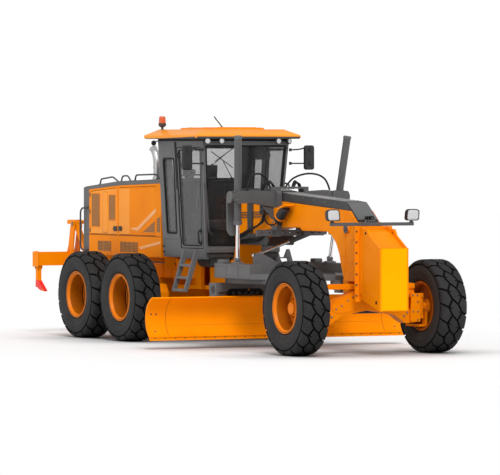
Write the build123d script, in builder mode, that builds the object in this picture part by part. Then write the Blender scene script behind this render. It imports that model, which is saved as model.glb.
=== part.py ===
from build123d import *
import math
import os

os.makedirs("parts", exist_ok=True)

# Motor grader. Millimetres, +X forward, +Y left, +Z up, ground at z = 0.
# Stations called x below are measured from the tandem pivot; at() moves them
# into the machine's own frame, whose origin is the middle of its length.

# ---- driving dimensions -------------------------------------------------
NOSE_X = 7007.0            # front face of the push block
TAIL_X = -2720.0           # rear face of the ripper beam
TANDEM_X = -(NOSE_X + TAIL_X) / 2

WHEELBASE = 6150.0
TANDEM_SPACING = 1540.0
TRACK = 2220.0
AXLE_Z = 674.0
TYRE_R = 674.0
TYRE_W = 450.0
BEAD_R = 325.0
FLANGE_R = 363.0
RIM_HALF = 195.0

ARTICULATION_X = 1600.0
LUG_Z = (868.0, 1175.0)

LEAN_Y, LEAN_Z = 740.0, 500.0
KINGPIN_Y = 915.0
LEAN_BAR_Z = 970.0
ARM_X, ARM_Y, TIE_Z = -275.0, 858.0, 590.0

BALL = (5550.0, 0.0, 950.0)
CIRCLE_X, CIRCLE_R = 3400.0, 740.0
CIRCLE_Z = (950.0, 1020.0)
TILT_PIN = (3245.0, 300.0)
BLADE_HALF = 2135.0

LIFT_TOP = (3971.0, 913.0, 3127.0)
LIFT_TRUNNION = (3830.3, 844.4, 2227.0)
LIFT_EYE = (3682.0, 772.0, 1278.0)
SHIFT_PIN = (3620.0, 620.0, 1740.0)
SHIFT_EYE = (3620.0, -450.0, 1360.0)

HOOD_HALF = 600.0
HOOD_X = (-1780.0, 800.0)
CAB_X = (1100.0, 2350.0)
CAB_FLOOR, CAB_TOP = 1300.0, 3100.0

RIPPER_LOW, RIPPER_HIGH = 620.0, 1270.0
RIPPER_HITCH_X, RIPPER_PIN_X = -2060.0, -2460.0
RIPPER_RISE = 475.0
RIPPER_CYL = ((-2060.0, 1000.0), (-2530.0, 1780.0))


def at(x):
    return TANDEM_X + x


def side_plate(outline, y_mid, width, mode=Mode.ADD):
    """Plate seen from the side: (x, z) outline, its thickness along y."""
    with BuildSketch(Plane.XZ.offset(-y_mid)) as profile:
        with BuildLine():
            Polyline(*[(at(x), z) for x, z in outline], close=True)
        make_face()
    extrude(profile.sketch, amount=width / 2, both=True, mode=mode)


def front_plate(outline, x_mid, width, mode=Mode.ADD):
    """Plate seen from the front: (y, z) outline, its thickness along x."""
    with BuildSketch(Plane.YZ.offset(at(x_mid))) as profile:
        with BuildLine():
            Polyline(*outline, close=True)
        make_face()
    extrude(profile.sketch, amount=width / 2, both=True, mode=mode)


def top_plate(outline, z_low, z_high, mode=Mode.ADD):
    """Plate seen from above: (x, y) outline between two heights."""
    with BuildSketch(Plane.XY.offset(z_low)) as profile:
        with BuildLine():
            Polyline(*[(at(x), y) for x, y in outline], close=True)
        make_face()
    extrude(profile.sketch, amount=z_high - z_low, mode=mode)


def block(x, y, z, mode=Mode.ADD):
    with Locations((at((x[0] + x[1]) / 2), (y[0] + y[1]) / 2, (z[0] + z[1]) / 2)):
        Box(abs(x[1] - x[0]), abs(y[1] - y[0]), abs(z[1] - z[0]), mode=mode)


def bar(p, q, radius, mode=Mode.ADD):
    """Round bar between two points."""
    a = Vector(at(p[0]), p[1], p[2])
    b = Vector(at(q[0]), q[1], q[2])
    with BuildSketch(Plane(origin=a, z_dir=b - a)) as section:
        Circle(radius)
    extrude(section.sketch, amount=(b - a).length, mode=mode)


def turned(x, z, profile, mode=Mode.ADD, y_mid=0.0, side=1):
    """Ring about the y axis through (x, z): profile of (outboard offset, radius)."""
    with BuildSketch(Plane(origin=(at(x), y_mid, z), x_dir=(0, side, 0), z_dir=(side, 0, 0))) as section:
        with BuildLine():
            Polyline(*profile, close=True)
        make_face()
    revolve(section.sketch, axis=Axis((at(x), y_mid, z), (0, 1, 0)), mode=mode)


def tube_run(points, radius):
    """Tube along straight runs joined by tangent arcs; prints its bend radii."""
    pts = [Vector(at(p[0]), p[1], p[2]) for p in points]
    start = pts[0]
    radii, length = [], 0.0
    with BuildLine() as path:
        for i in range(1, len(pts) - 1):
            u = (pts[i - 1] - pts[i]).normalized()
            v = (pts[i + 1] - pts[i]).normalized()
            run = min((pts[i - 1] - pts[i]).length, (pts[i + 1] - pts[i]).length)
            half_turn = (math.pi - math.acos(max(-1.0, min(1.0, u.dot(v))))) / 2
            cut = 0.45 * run
            bend = cut / math.tan(half_turn)
            p, q = pts[i] + u * cut, pts[i] + v * cut
            middle = pts[i] + (u + v).normalized() * (math.hypot(cut, bend) - bend)
            Line(start, p)
            ThreePointArc(p, middle, q)
            radii.append(round(bend))
            length += (p - start).length + bend * 2 * half_turn
            start = q
        Line(start, pts[-1])
        length += (pts[-1] - start).length
    first = (pts[1] - pts[0]).normalized()
    with BuildSketch(Plane(origin=pts[0], z_dir=first)) as section:
        Circle(radius)
    sweep(section.sketch, path=path.line)
    return radii, length


def write(part, label):
    part.label = label
    export_step(part, "parts/" + label + ".step")


SIDES = (("right", -1), ("left", 1))

# ---- wheels -------------------------------------------------------------
# half section of the tyre: (offset from the wheel's middle, radius)
TYRE_SECTION = [(-168, BEAD_R), (168, BEAD_R), (168, 367), (203, 385), (222, 430), (TYRE_W / 2, 480),
                (222, 545), (210, 615), (194, 652), (168, TYRE_R), (-168, TYRE_R), (-194, 652),
                (-210, 615), (-222, 545), (-TYRE_W / 2, 480), (-222, 430), (-203, 385), (-168, 367)]
# rim barrel with its rolled flanges; the disc and hub are in the tables below
RIM_SECTION = [(-RIM_HALF, 311), (RIM_HALF, 311), (RIM_HALF, FLANGE_R - 22), (RIM_HALF - 8, FLANGE_R - 18),
               (RIM_HALF - 8, FLANGE_R), (168, FLANGE_R), (168, BEAD_R), (-168, BEAD_R), (-168, FLANGE_R),
               (-RIM_HALF + 8, FLANGE_R), (-RIM_HALF + 8, FLANGE_R - 18), (-RIM_HALF, FLANGE_R - 22)]
FRONT_DISC = [(-77, 0), (-77, 150), (-75, 312), (-58, 312), (-52, 175), (20, 112), (60, 92), (88, 90), (96, 78), (96, 0)]
REAR_DISC = [(-160, 0), (-160, 150), (-140, 205), (-100, 312), (-84, 312), (-118, 212), (-128, 150), (-112, 60), (-112, 0)]

# name, station from the tandem pivot, disc section
WHEELS = (("front", WHEELBASE, FRONT_DISC),
          ("tandem_front", TANDEM_SPACING / 2, REAR_DISC),
          ("tandem_rear", -TANDEM_SPACING / 2, REAR_DISC))

for name, x, disc in WHEELS:
    for side, s in SIDES:
        with BuildPart() as tyre:
            turned(x, AXLE_Z, TYRE_SECTION, y_mid=s * TRACK / 2, side=s)
        write(tyre.part, f"{name}_tyre_{side}")
        with BuildPart() as rim:
            turned(x, AXLE_Z, RIM_SECTION, y_mid=s * TRACK / 2, side=s)
            turned(x, AXLE_Z, disc, y_mid=s * TRACK / 2, side=s)
        write(rim.part, f"{name}_rim_{side}")

# ---- front frame --------------------------------------------------------
FRAME_HALF = 190.0
FRAME_TOP = [(2500, 2190), (3400, 2195), (4170, 2150), (5800, 2062), (6060, 2045), (6250, 1888)]
FRAME_OUTLINE = [(ARTICULATION_X, 1175), (1790, 1175), (1800, 1265), (2430, 1265), (2480, 1500), (2480, 2190),
                 *FRAME_TOP, (6300, 1836), (6385, 1836), (6385, 1040), (5890, 1040), (5852, 1110), (5800, 1232),
                 (5735, 1420), (5640, 1575), (5520, 1680), (5360, 1742), (4600, 1742), (4580, 1785), (3900, 1785), (3300, 1720),
                 (2620, 1520), (2540, 1120), (2400, 950), (1900, 868), (ARTICULATION_X, 868)]
with BuildPart() as front_frame:
    side_plate(FRAME_OUTLINE, 0, 2 * FRAME_HALF)
    bar((ARTICULATION_X, 0, LUG_Z[0]), (ARTICULATION_X, 0, LUG_Z[1]), 150)
    block((1400, 1600), (-200, 200), (800, 1300), mode=Mode.SUBTRACT)
    with BuildSketch(Plane.XY.offset(LUG_Z[0])) as nose:
        with Locations((at(ARTICULATION_X), 0)):
            Circle(150)
    extrude(nose.sketch, amount=LUG_Z[1] - LUG_Z[0])
    # the tongue narrows to its round end between the rear hitch plates
    for s in (-1, 1):
        top_plate([(1560, s * 150), (1780, s * 150), (1840, s * 195), (1560, s * 195)], 860, 1270, mode=Mode.SUBTRACT)
    bar((ARTICULATION_X, 0, 800), (ARTICULATION_X, 0, 1300), 50.5, mode=Mode.SUBTRACT)
    # plates that carry the axle's centre pin, and the pin
    for x in (5890, 6325):
        front_plate([(-150, 1040), (-150, 800), (-90, 720), (90, 720), (150, 800), (150, 1040)], x + 30, 60)
    bar((5890, 0, 800), (6385, 0, 800), 50)
    # nose that the drawbar's ball stands in
    block((5640, 5890), (-75, 75), (870, 1040))
    side_plate([(5640, 1000), (5640, 1060), (5860, 1180), (5890, 1180), (5890, 1000)], 0, 150)
    # drilled bosses on the leg's sides
    for s in (-1, 1):
        bar((5985, s * FRAME_HALF, 1790), (5985, s * (FRAME_HALF + 34), 1790), 60)
write(front_frame.part, "front_frame")

with BuildPart() as frame_cover:
    side_plate([*FRAME_TOP, (6262, 1900), (5900, 2172), (5800, 2180), (4170, 2271), (3400, 2345), (2500, 2345)], 0, 340)
write(frame_cover.part, "frame_cover")

# ---- push block on the nose ----------------------------------------------
with BuildPart() as front_counterweight:
    for s in (-1, 1):
        side_plate([(6385, 1836), (6440, 1836), (6520, 1800), (6640, 1790), (6700, 1700), (6980, 1533),
                    (NOSE_X, 1533), (NOSE_X, 641), (6985, 641), (6440, 800), (6385, 760)], s * 216, 30)
        block((6385, 6415), (s * 190, s * 300), (760, 1836))
    block((6985, NOSE_X), (-201, 201), (641, 1533))
    side_plate([(6385, 1790), (6560, 1740), (6985, 1490), (6985, 641), (6460, 790), (6385, 790)], 0, 402)
    for x, z, r in ((6590, 1735, 22), (6900, 760, 26)):
        bar((x, -240, z), (x, -195, z), r, mode=Mode.SUBTRACT)
        bar((x, 195, z), (x, 240, z), r, mode=Mode.SUBTRACT)
write(front_counterweight.part, "front_counterweight")

# ---- front axle -----------------------------------------------------------
AXLE_HALF = [(0, 890), (250, 890), (520, 780), (LEAN_Y + 10, 561), (LEAN_Y + 10, 439), (600, 439), (430, 560), (0, 630)]
with BuildPart() as front_axle:
    for s in (-1, 1):
        front_plate([(s * y, z) for y, z in AXLE_HALF], WHEELBASE, 190)
        bar((WHEELBASE - 95, s * LEAN_Y, LEAN_Z), (WHEELBASE + 95, s * LEAN_Y, LEAN_Z), 61)
    bar((5955, 0, 800), (6320, 0, 800), 88)
    bar((5900, 0, 800), (6380, 0, 800), 50.5, mode=Mode.SUBTRACT)
    for s in (-1, 1):
        bar((WHEELBASE - 120, s * LEAN_Y, LEAN_Z), (WHEELBASE + 120, s * LEAN_Y, LEAN_Z), 35.5, mode=Mode.SUBTRACT)
write(front_axle.part, "front_axle")

for side, s in SIDES:
    with BuildPart() as lean_bracket:
        for d in (-117.5, 117.5):
            front_plate([(s * y, z) for y, z in ((680, 470), (700, 455), (840, 455), (840, 860), (700, 860), (680, 560))],
                        WHEELBASE + d, 25)
        block((WHEELBASE - 130, WHEELBASE + 130), (s * 815, s * 840), (455, 860))
        block((WHEELBASE - 130, WHEELBASE + 130), (s * 700, s * 840), (810, 860))
        front_plate([(s * y, z) for y, z in ((690, 860), (800, 860), (785, 985), (760, 1012), (720, 1012), (697, 985))],
                    WHEELBASE, 50)
        bar((WHEELBASE - 130, s * LEAN_Y, LEAN_Z), (WHEELBASE + 130, s * LEAN_Y, LEAN_Z), 35)
        for z in (500, 803):
            block((WHEELBASE - 45, WHEELBASE + 45), (s * 840, s * KINGPIN_Y), (z, z + 45))
            bar((WHEELBASE, s * KINGPIN_Y, z), (WHEELBASE, s * KINGPIN_Y, z + 45), 45)
        bar((WHEELBASE, s * KINGPIN_Y, 500), (WHEELBASE, s * KINGPIN_Y, 848), 25)
    write(lean_bracket.part, f"lean_bracket_{side}")

    with BuildPart() as knuckle:
        bar((WHEELBASE, s * KINGPIN_Y, 550), (WHEELBASE, s * KINGPIN_Y, 798), 44)
        bar((WHEELBASE, s * (KINGPIN_Y + 20), AXLE_Z), (WHEELBASE, s * 1010, AXLE_Z), 62)
        bar((WHEELBASE, s * 1006, AXLE_Z), (WHEELBASE, s * 1027, AXLE_Z), 105)
        block((WHEELBASE - 45, WHEELBASE + 45), (s * 968, s * 1006), (380, 690))
        # steering arm: rearward below the bracket, then up to the tie rod's height
        top_plate([(WHEELBASE + 45, s * 1006), (WHEELBASE - 45, s * 1006), (WHEELBASE - 62, s * 915),
                   (WHEELBASE - 62, s * 879), (WHEELBASE - 294, s * 877), (WHEELBASE - 294, s * 838),
                   (WHEELBASE - 40, s * 838), (WHEELBASE + 45, s * 880)], 380, 412)
        bar((WHEELBASE + ARM_X, s * ARM_Y, 380), (WHEELBASE + ARM_X, s * ARM_Y, TIE_Z + 18), 19)
        bar((WHEELBASE + ARM_X, s * ARM_Y, TIE_Z), (WHEELBASE + ARM_X, s * 795, TIE_Z), 12)
        bar((WHEELBASE, s * KINGPIN_Y, 540), (WHEELBASE, s * KINGPIN_Y, 810), 25.5, mode=Mode.SUBTRACT)
    write(knuckle.part, f"steering_knuckle_{side}")

with BuildPart() as lean_bar:
    block((WHEELBASE - 40, WHEELBASE + 40), (-655, 655), (LEAN_BAR_Z - 38, LEAN_BAR_Z + 38))
    for s in (-1, 1):
        for d in (-42, 42):
            block((WHEELBASE + d - 8, WHEELBASE + d + 8), (s * 600, s * 790), (LEAN_BAR_Z - 36, LEAN_BAR_Z + 36))
            bar((WHEELBASE + d - 14, s * LEAN_Y, LEAN_BAR_Z), (WHEELBASE + d + 14, s * LEAN_Y, LEAN_BAR_Z), 22)
write(lean_bar.part, "lean_bar")

with BuildPart() as tie_rod:
    bar((WHEELBASE + ARM_X, -724, TIE_Z), (WHEELBASE + ARM_X, 724, TIE_Z), 20)
    for s in (-1, 1):
        bar((WHEELBASE + ARM_X, s * 600, TIE_Z), (WHEELBASE + ARM_X, s * 696, TIE_Z), 28)
write(tie_rod.part, "tie_rod")

# ---- saddle over the frame, with the lift arms and the link bar ------------
SADDLE_X = LIFT_TRUNNION[0]
with BuildPart() as blade_saddle:
    for s in (-1, 1):
        side_plate([(3755, 1830), (3840, 1720), (3840, 1645), (3960, 1645), (3985, 1830), (3985, 2290),
                    (3930, 2340), (3800, 2340), (3755, 2290)], s * 232, 80)
        front_plate([(s * 272, 2310), (s * 272, 2080), (s * 660, 2140), (s * 742, 2140), (s * 742, 2310), (s * 600, 2330)],
                    SADDLE_X + 4, 150)
        for d in (-84, 84):
            front_plate([(s * 690, 2310), (s * 690, 2140), (s * 880, 2130), (s * 957, 2180), (s * 957, 2280), (s * 880, 2325)],
                        SADDLE_X + d, 24)
        block((SADDLE_X - 84, SADDLE_X + 84), (s * 934, s * 957), (2170, 2290))
        bar((SADDLE_X, s * 957, 2227), (SADDLE_X, s * 982, 2227), 88)
        bar((SADDLE_X - 100, s * LIFT_TRUNNION[1], 2227), (SADDLE_X + 100, s * LIFT_TRUNNION[1], 2227), 29.5,
            mode=Mode.SUBTRACT)
    block((3782, 3950), (-272, 272), (2350, 2380))
    for s in (-1, 1):
        block((3782, 3950), (s * 192, s * 272), (2300, 2352))
    block((3850, 3900), (-560, 560), (1655, 1745))
    for y in (-480, -360, -120, 0, 120, 360, 480):
        bar((3840, y, 1700), (3910, y, 1700), 16, mode=Mode.SUBTRACT)
    # bracket of the centre shift cylinder on the left cheek
    block((3685, 3870), (196, 272), (1665, 1800))
    block((3685, 3762), (196, 600), (1665, 1800))
    block((3665, 3700), (520, 700), (1665, 1815))
    block((3555, 3575), (520, 700), (1665, 1815))
    block((3555, 3700), (690, 712), (1665, 1815))
    bar((3575, 620, 1740), (3581, 620, 1740), 22)
    bar((3659, 620, 1740), (3665, 620, 1740), 22)
write(blade_saddle.part, "blade_saddle")

# ---- cab --------------------------------------------------------------------
# (x, half width) of the cab's corners at floor level and at the roof
CAB_LOW = ((1100.0, 703.0), (1700.0, 693.0), (2342.0, 612.0))
CAB_HIGH = ((1100.0, 806.0), (1700.0, 796.0), (2475.0, 733.0))


def cab_block(inset, z_low=CAB_FLOOR, z_high=CAB_TOP, mode=Mode.ADD):
    """Tapered cab body, its walls moved in by the inset."""
    share_low = (z_low - CAB_FLOOR) / (CAB_TOP - CAB_FLOOR)
    share_high = (z_high - CAB_FLOOR) / (CAB_TOP - CAB_FLOOR)
    faces = []
    for share, z in ((share_low, z_low), (share_high, z_high)):
        corners = []
        for i, (a, b) in enumerate(zip(CAB_LOW, CAB_HIGH)):
            x = a[0] + (b[0] - a[0]) * share + (inset if i == 0 else -inset if i == 2 else 0)
            y = a[1] + (b[1] - a[1]) * share - inset
            corners.append((at(x), y))
        with BuildSketch(Plane.XY.offset(z)) as section:
            with BuildLine():
                Polyline(*corners, *[(x, -y) for x, y in reversed(corners)], close=True)
            make_face()
        faces.append(section.sketch.faces()[0])
    loft(faces, ruled=True, mode=mode)


# side openings as (x, z): door, quarter window, and the door's own pane
DOOR_HOLE = [(1706, 1440), (2300, 1440), (2405, 2960), (1706, 2960)]
DOOR_EDGE = [(1711, 1445), (2295, 1445), (2400, 2955), (1711, 2955)]
DOOR_PANE = [(1785, 1530), (2245, 1530), (2343, 2880), (1785, 2880)]
QUARTER_HOLE = [(1262, 1665), (1572, 1665), (1590, 2790), (1245, 2790)]
SCREEN = [(-578, 1490), (578, 1490), (678, 2985), (-678, 2985)]
REAR_HOLE = [(-560, 2480), (560, 2480), (600, 2960), (-600, 2960)]


def shrink(outline, gap):
    """Outline moved in by the gap towards its middle, corner by corner."""
    mid_a = sum(p[0] for p in outline) / len(outline)
    mid_b = sum(p[1] for p in outline) / len(outline)
    return [(a - math.copysign(gap, a - mid_a), b - math.copysign(gap, b - mid_b)) for a, b in outline]


with BuildPart() as cab_frame:
    cab_block(0)
    cab_block(50, z_low=CAB_FLOOR + 60, z_high=CAB_TOP - 40, mode=Mode.SUBTRACT)
    for s in (-1, 1):
        side_plate(DOOR_HOLE, s * 700, 400, mode=Mode.SUBTRACT)
        side_plate(QUARTER_HOLE, s * 700, 400, mode=Mode.SUBTRACT)
    front_plate(SCREEN, 2400, 400, mode=Mode.SUBTRACT)
    front_plate(REAR_HOLE, 1120, 200, mode=Mode.SUBTRACT)
    for x in (1850, 2250):
        for s in (-1, 1):
            block((x, x + 110), (s * 60, s * 170), (1265, CAB_FLOOR))
write(cab_frame.part, "cab_frame")

# fixed panes: (outline, the plane it is drawn on, where along that plane's normal, depth)
PANES = ((QUARTER_HOLE, side_plate, 700, 400), (QUARTER_HOLE, side_plate, -700, 400), (SCREEN, front_plate, 2400, 400),
         (REAR_HOLE, front_plate, 1120, 200))
panes = []
for outline, plate, where, depth in PANES:
    with BuildPart() as pane:
        cab_block(20)
        cab_block(28, z_low=CAB_FLOOR - 10, z_high=CAB_TOP + 10, mode=Mode.SUBTRACT)
        plate(shrink(outline, 2), where, depth, mode=Mode.INTERSECT)
    panes += pane.part.solids()
write(Compound(children=panes), "cab_glass")

for side, s in SIDES:
    with BuildPart() as door:
        cab_block(0)
        cab_block(50, z_low=CAB_FLOOR - 10, z_high=CAB_TOP + 10, mode=Mode.SUBTRACT)
        side_plate(DOOR_EDGE, s * 700, 400, mode=Mode.INTERSECT)
        side_plate(DOOR_PANE, s * 700, 400, mode=Mode.SUBTRACT)
    with BuildPart() as pane:
        cab_block(20)
        cab_block(28, z_low=CAB_FLOOR - 10, z_high=CAB_TOP + 10, mode=Mode.SUBTRACT)
        side_plate(shrink(DOOR_PANE, 2), s * 700, 400, mode=Mode.INTERSECT)
    write(Compound(children=[*door.part.solids(), *pane.part.solids()]), f"cab_door_{side}")

with BuildPart() as cab_roof:
    with BuildSketch(Plane.XY.offset(CAB_TOP)) as eave:
        with Locations((at(1670), 0)):
            Rectangle(1780, 1770)
    extrude(eave.sketch, amount=45)
    with BuildSketch(Plane.XY.offset(CAB_TOP + 45)) as low:
        with Locations((at(1670), 0)):
            Rectangle(1780, 1770)
    with BuildSketch(Plane.XY.offset(3235)) as high:
        with Locations((at(1640), 0)):
            Rectangle(1480, 1380)
    loft([low.sketch.faces()[0], high.sketch.faces()[0]], ruled=True)
    block((1100, 2250), (-420, 420), (3235, 3258))
write(cab_roof.part, "cab_roof")

with BuildPart() as operator_station:
    # seat on its pedestal
    block((1330, 1620), (-170, 170), (1360, 1700))
    block((1260, 1760), (-260, 260), (1700, 1850))
    side_plate([(1250, 1850), (1380, 1850), (1290, 2480), (1200, 2480)], 0, 480)
    side_plate([(1195, 2500), (1280, 2500), (1265, 2700), (1190, 2700)], 0, 300)
    block((1225, 1262), (-60, 60), (2480, 2505))
    # console, column and steering wheel
    side_plate([(2090, 1360), (2250, 1360), (2230, 1800), (2060, 2080), (1990, 2060), (2090, 1800)], 0, 200)
    with BuildSketch(Plane(origin=(at(2010), 0, 2110), x_dir=(0, 1, 0), z_dir=(-0.45, 0, 0.89))) as ring:
        Circle(205)
        Circle(180, mode=Mode.SUBTRACT)
        Rectangle(380, 36)
        Rectangle(36, 380)
    extrude(ring.sketch, amount=24)
    bar((2045, 0, 2030), (2010, 0, 2112), 30)
write(operator_station.part, "operator_station")

with BuildPart() as cab_mirrors:
    for s in (-1, 1):
        block((2520, 2575), (s * 952, s * 1116), (2625, 2991))
        for z in (2720, 2925):
            tube_run([(2548, s * 952, z), (2548, s * 860, z), (2479, s * 750, z)], 11)
write(cab_mirrors.part, "cab_mirrors")

with BuildPart() as cab_steps:
    for s in (-1, 1):
        for x in (1940, 2325):
            front_plate([(s * y, z) for y, z in ((715, 1300), (765, 1420), (800, 1420), (990, 795), (930, 795), (760, 1300))],
                        x + 15, 44)
            block((x, x + 30), (s * 560, s * 770), (1282, 1300))
        for y, z in ((905, 800), (835, 985), (785, 1170)):
            block((1975, 2320), (s * y, s * (y + 95)), (z, z + 30))
write(cab_steps.part, "cab_steps")

# ---- lamps on the front body -------------------------------------------------
with BuildPart() as work_lights:
    block((6335, 6385), (-700, 700), (1850, 1882))
    for s in (-1, 1):
        block((6340, 6380), (s * 80, s * 120), (1836, 1850))
    for s in (-1, 1):
        block((6350, 6372), (s * 630, s * 660), (1882, 1906))
        block((6310, 6415), (s * 540, s * 750), (1906, 2070))
        for x, y, z in ((2616, 483, 3058), (2570, 669, 3058)):
            bar((x - 62, s * y, z), (x, s * y, z), 36)
    bar((960, -660, 3236), (960, -660, 3290), 26)
    bar((960, -660, 3290), (960, -660, 3330), 60)
    bar((960, -660, 3330), (960, -660, 3440), 52)
write(work_lights.part, "work_lights")

# ---- drawbar, circle and blade -------------------------------------------------
with BuildPart() as drawbar_ball:
    with Locations((at(BALL[0]), 0, BALL[2])):
        Sphere(70)
    bar(BALL, (BALL[0] + 82, 0, BALL[2]), 32)
write(drawbar_ball.part, "drawbar_ball")

with BuildPart() as drawbar:
    block((5420, 5595), (-100, 100), (860, 1040))
    for s in (-1, 1):
        top_plate([(3950, s * 700), (3950, s * 880), (4300, s * 880), (5450, s * 100), (5450, 0), (5300, 0)], 1030, 1110)
        block((3150, 4300), (s * 700, s * 880), (1030, 1245))
        # ear and cup of the lift cylinder
        bar((3682, s * 772, 1245), (3682, s * 772, 1252), 62)
    block((5300, 5430), (-100, 100), (900, 1110))
    top_plate([(2740, -420), (2740, 420), (3000, 640), (3150, 700), (4000, 700), (4000, -700), (3150, -700), (3000, -640)],
              1030, 1095)
    # tower for the centre shift cylinder's rod
    front_plate([(-540, 1090), (-525, 1330), (-480, 1400), (-400, 1400), (0, 1200), (60, 1090)], 3722, 34)
    with Locations((at(BALL[0]), 0, BALL[2])):
        Sphere(76, mode=Mode.SUBTRACT)
    bar((BALL[0], 0, BALL[2]), (BALL[0] + 100, 0, BALL[2]), 60, mode=Mode.SUBTRACT)
    bar((CIRCLE_X, 0, 1000), (CIRCLE_X, 0, 1200), 330, mode=Mode.SUBTRACT)
write(drawbar.part, "drawbar")

with BuildPart() as blade_circle:
    bar((CIRCLE_X, 0, CIRCLE_Z[0]), (CIRCLE_X, 0, CIRCLE_Z[1]), CIRCLE_R)
    bar((CIRCLE_X, 0, 900), (CIRCLE_X, 0, 1100), 600, mode=Mode.SUBTRACT)
    block((3070, 3280), (-930, 930), (820, 952))
    for s in (-1, 1):
        side_plate([(3070, 952), (3300, 952), (3285, 790), (3285, 300), (3262, 262), (3228, 262), (3200, 300), (3090, 740)],
                   s * 905, 50)
        bar((TILT_PIN[0], s * 930, TILT_PIN[1]), (TILT_PIN[0], s * 965, TILT_PIN[1]), 26)
write(blade_circle.part, "blade_circle")

with BuildPart() as tilt_brackets:
    for s in (-1, 1):
        side_plate([(3205, 255), (3330, 245), (3400, 245), (3400, 252), (3322, 252), (3322, 284), (3385, 284), (3385, 310),
                    (3322, 330), (3318, 610), (3400, 610), (3400, 636), (3325, 636), (3325, 669), (3400, 669), (3400, 700),
                    (3290, 700), (3270, 400), (3205, 345)], s * 955, 40)
        bar((TILT_PIN[0], s * 920, TILT_PIN[1]), (TILT_PIN[0], s * 990, TILT_PIN[1]), 26.5, mode=Mode.SUBTRACT)
write(tilt_brackets.part, "tilt_brackets")

with BuildPart() as moldboard:
    with BuildSketch(Plane.XZ) as section:
        with BuildLine():
            ThreePointArc((at(3500), 175), (at(3370), 445), (at(3600), 770))
            Line((at(3600), 770), (at(3618), 752))
            ThreePointArc((at(3618), 752), (at(3395), 445), (at(3520), 190))
            Line((at(3520), 190), (at(3500), 175))
        make_face()
    extrude(section.sketch, amount=BLADE_HALF, both=True)
    # slide rails on its back
    block((3330, 3455), (-1600, 1600), (641, 664))
    block((3330, 3435), (-1600, 1600), (257, 279))
write(moldboard.part, "moldboard")

with BuildPart() as cutting_edge:
    side_plate([(3520, 190), (3500, 175), (3510, 160), (3516, 130), (3534, 130), (3530, 165), (3552, 186), (3536, 196)],
               0, 2 * BLADE_HALF)
write(cutting_edge.part, "cutting_edge")

# ---- blade cylinders ------------------------------------------------------------


def between(p, q, distance):
    """Point on the line from p towards q at a distance from p."""
    length = math.dist(p, q)
    return tuple(a + (b - a) * distance / length for a, b in zip(p, q))


for side, s in SIDES:
    top = (LIFT_TOP[0], s * LIFT_TOP[1], LIFT_TOP[2])
    eye = (LIFT_EYE[0], s * LIFT_EYE[1], LIFT_EYE[2])
    reach = math.dist(top, eye)
    with BuildPart() as lift_barrel:
        bar(top, between(top, eye, 1290), 55)
        bar(between(top, eye, 1275), between(top, eye, 1315), 62)
        bar((SADDLE_X - 64, s * LIFT_TRUNNION[1], 2227), (SADDLE_X + 64, s * LIFT_TRUNNION[1], 2227), 40)
        bar((SADDLE_X - 96, s * LIFT_TRUNNION[1], 2227), (SADDLE_X + 96, s * LIFT_TRUNNION[1], 2227), 29)
        bar(between(top, eye, 30), between(top, eye, 1330), 29, mode=Mode.SUBTRACT)
    write(lift_barrel.part, f"lift_barrel_{side}")
    with BuildPart() as lift_rod:
        bar(between(top, eye, 640), between(top, eye, reach - 25), 27)
        with Locations((at(eye[0]), eye[1], eye[2] + 30)):
            Sphere(46)
        block((eye[0] - 60, eye[0] + 60), (eye[1] - 60, eye[1] + 60), (eye[2] - 60, eye[2]), mode=Mode.SUBTRACT)
    write(lift_rod.part, f"lift_rod_{side}")

reach = math.dist(SHIFT_PIN, SHIFT_EYE)
with BuildPart() as shift_barrel:
    bar(between(SHIFT_PIN, SHIFT_EYE, -40), between(SHIFT_PIN, SHIFT_EYE, 525), 39)
    bar(between(SHIFT_PIN, SHIFT_EYE, 30), between(SHIFT_PIN, SHIFT_EYE, 540), 23, mode=Mode.SUBTRACT)
write(shift_barrel.part, "shift_barrel")
with BuildPart() as shift_rod:
    bar(between(SHIFT_PIN, SHIFT_EYE, 290), SHIFT_EYE, 22)
    bar((SHIFT_EYE[0] - 25, SHIFT_EYE[1], SHIFT_EYE[2]), (SHIFT_EYE[0] + 25, SHIFT_EYE[1], SHIFT_EYE[2]), 38)
write(shift_rod.part, "shift_rod")

# ---- rear frame -------------------------------------------------------------------
with BuildPart() as rear_frame:
    for s in (-1, 1):
        side_plate([(-1985, 1265), (-1985, 960), (-400, 960), (-400, 860), (400, 860), (400, 960), (1000, 960),
                    (1000, 1265)], s * 370, 100)
        side_plate([(900, 800), (900, 1265), (1100, 1265), (1200, 1240), (1400, 1240), (1400, 800)], s * 190, 60)
        top_plate([(880, s * 160), (880, s * 420), (1010, s * 420), (1240, s * 220), (1400, s * 160)], 960, 1240)
    # hitch plates and pin
    for z in (800, 1180):
        top_plate([(860, -410), (860, 410), (1000, 410), (1400, 150), (1600, 150), (1600, -150), (1400, -150), (1000, -410)],
                  z, z + 60)
        bar((ARTICULATION_X, 0, z), (ARTICULATION_X, 0, z + 60), 150)
    bar((ARTICULATION_X, 0, 800), (ARTICULATION_X, 0, 1240), 50)
    block((860, 900), (-420, 420), (800, 1265))
    # final drive housing between the tandem cases
    block((-230, 230), (-420, 420), (520, 960))
    bar((0, -560, AXLE_Z), (0, 560, AXLE_Z), 200)
    # cross members and the rear plate with the ripper hitch
    for x in (-1200, -600, 500):
        block((x, x + 80), (-320, 320), (980, 1240))
    block((-1985, -1945), (-600, 600), (900, 1265))
    for s in (-1, 1):
        for y in (442, 558):
            side_plate([(-1985, 560), (-1985, 1330), (-2040, 1340), (-2110, 1310), (-2120, 1250), (-2120, 600), (-2090, 560)],
                       s * y, 25)
        block((-1985, -1960), (s * 420, s * 580), (560, 1265))
        for z in (RIPPER_LOW, RIPPER_HIGH):
            bar((RIPPER_HITCH_X, s * 430, z), (RIPPER_HITCH_X, s * 571, z), 24)
    for y in (-58, 58):
        block((-2110, -1985), (y - 12, y + 12), (930, 1070))
    bar((-2060, -70, 1000), (-2060, 70, 1000), 22)
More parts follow.
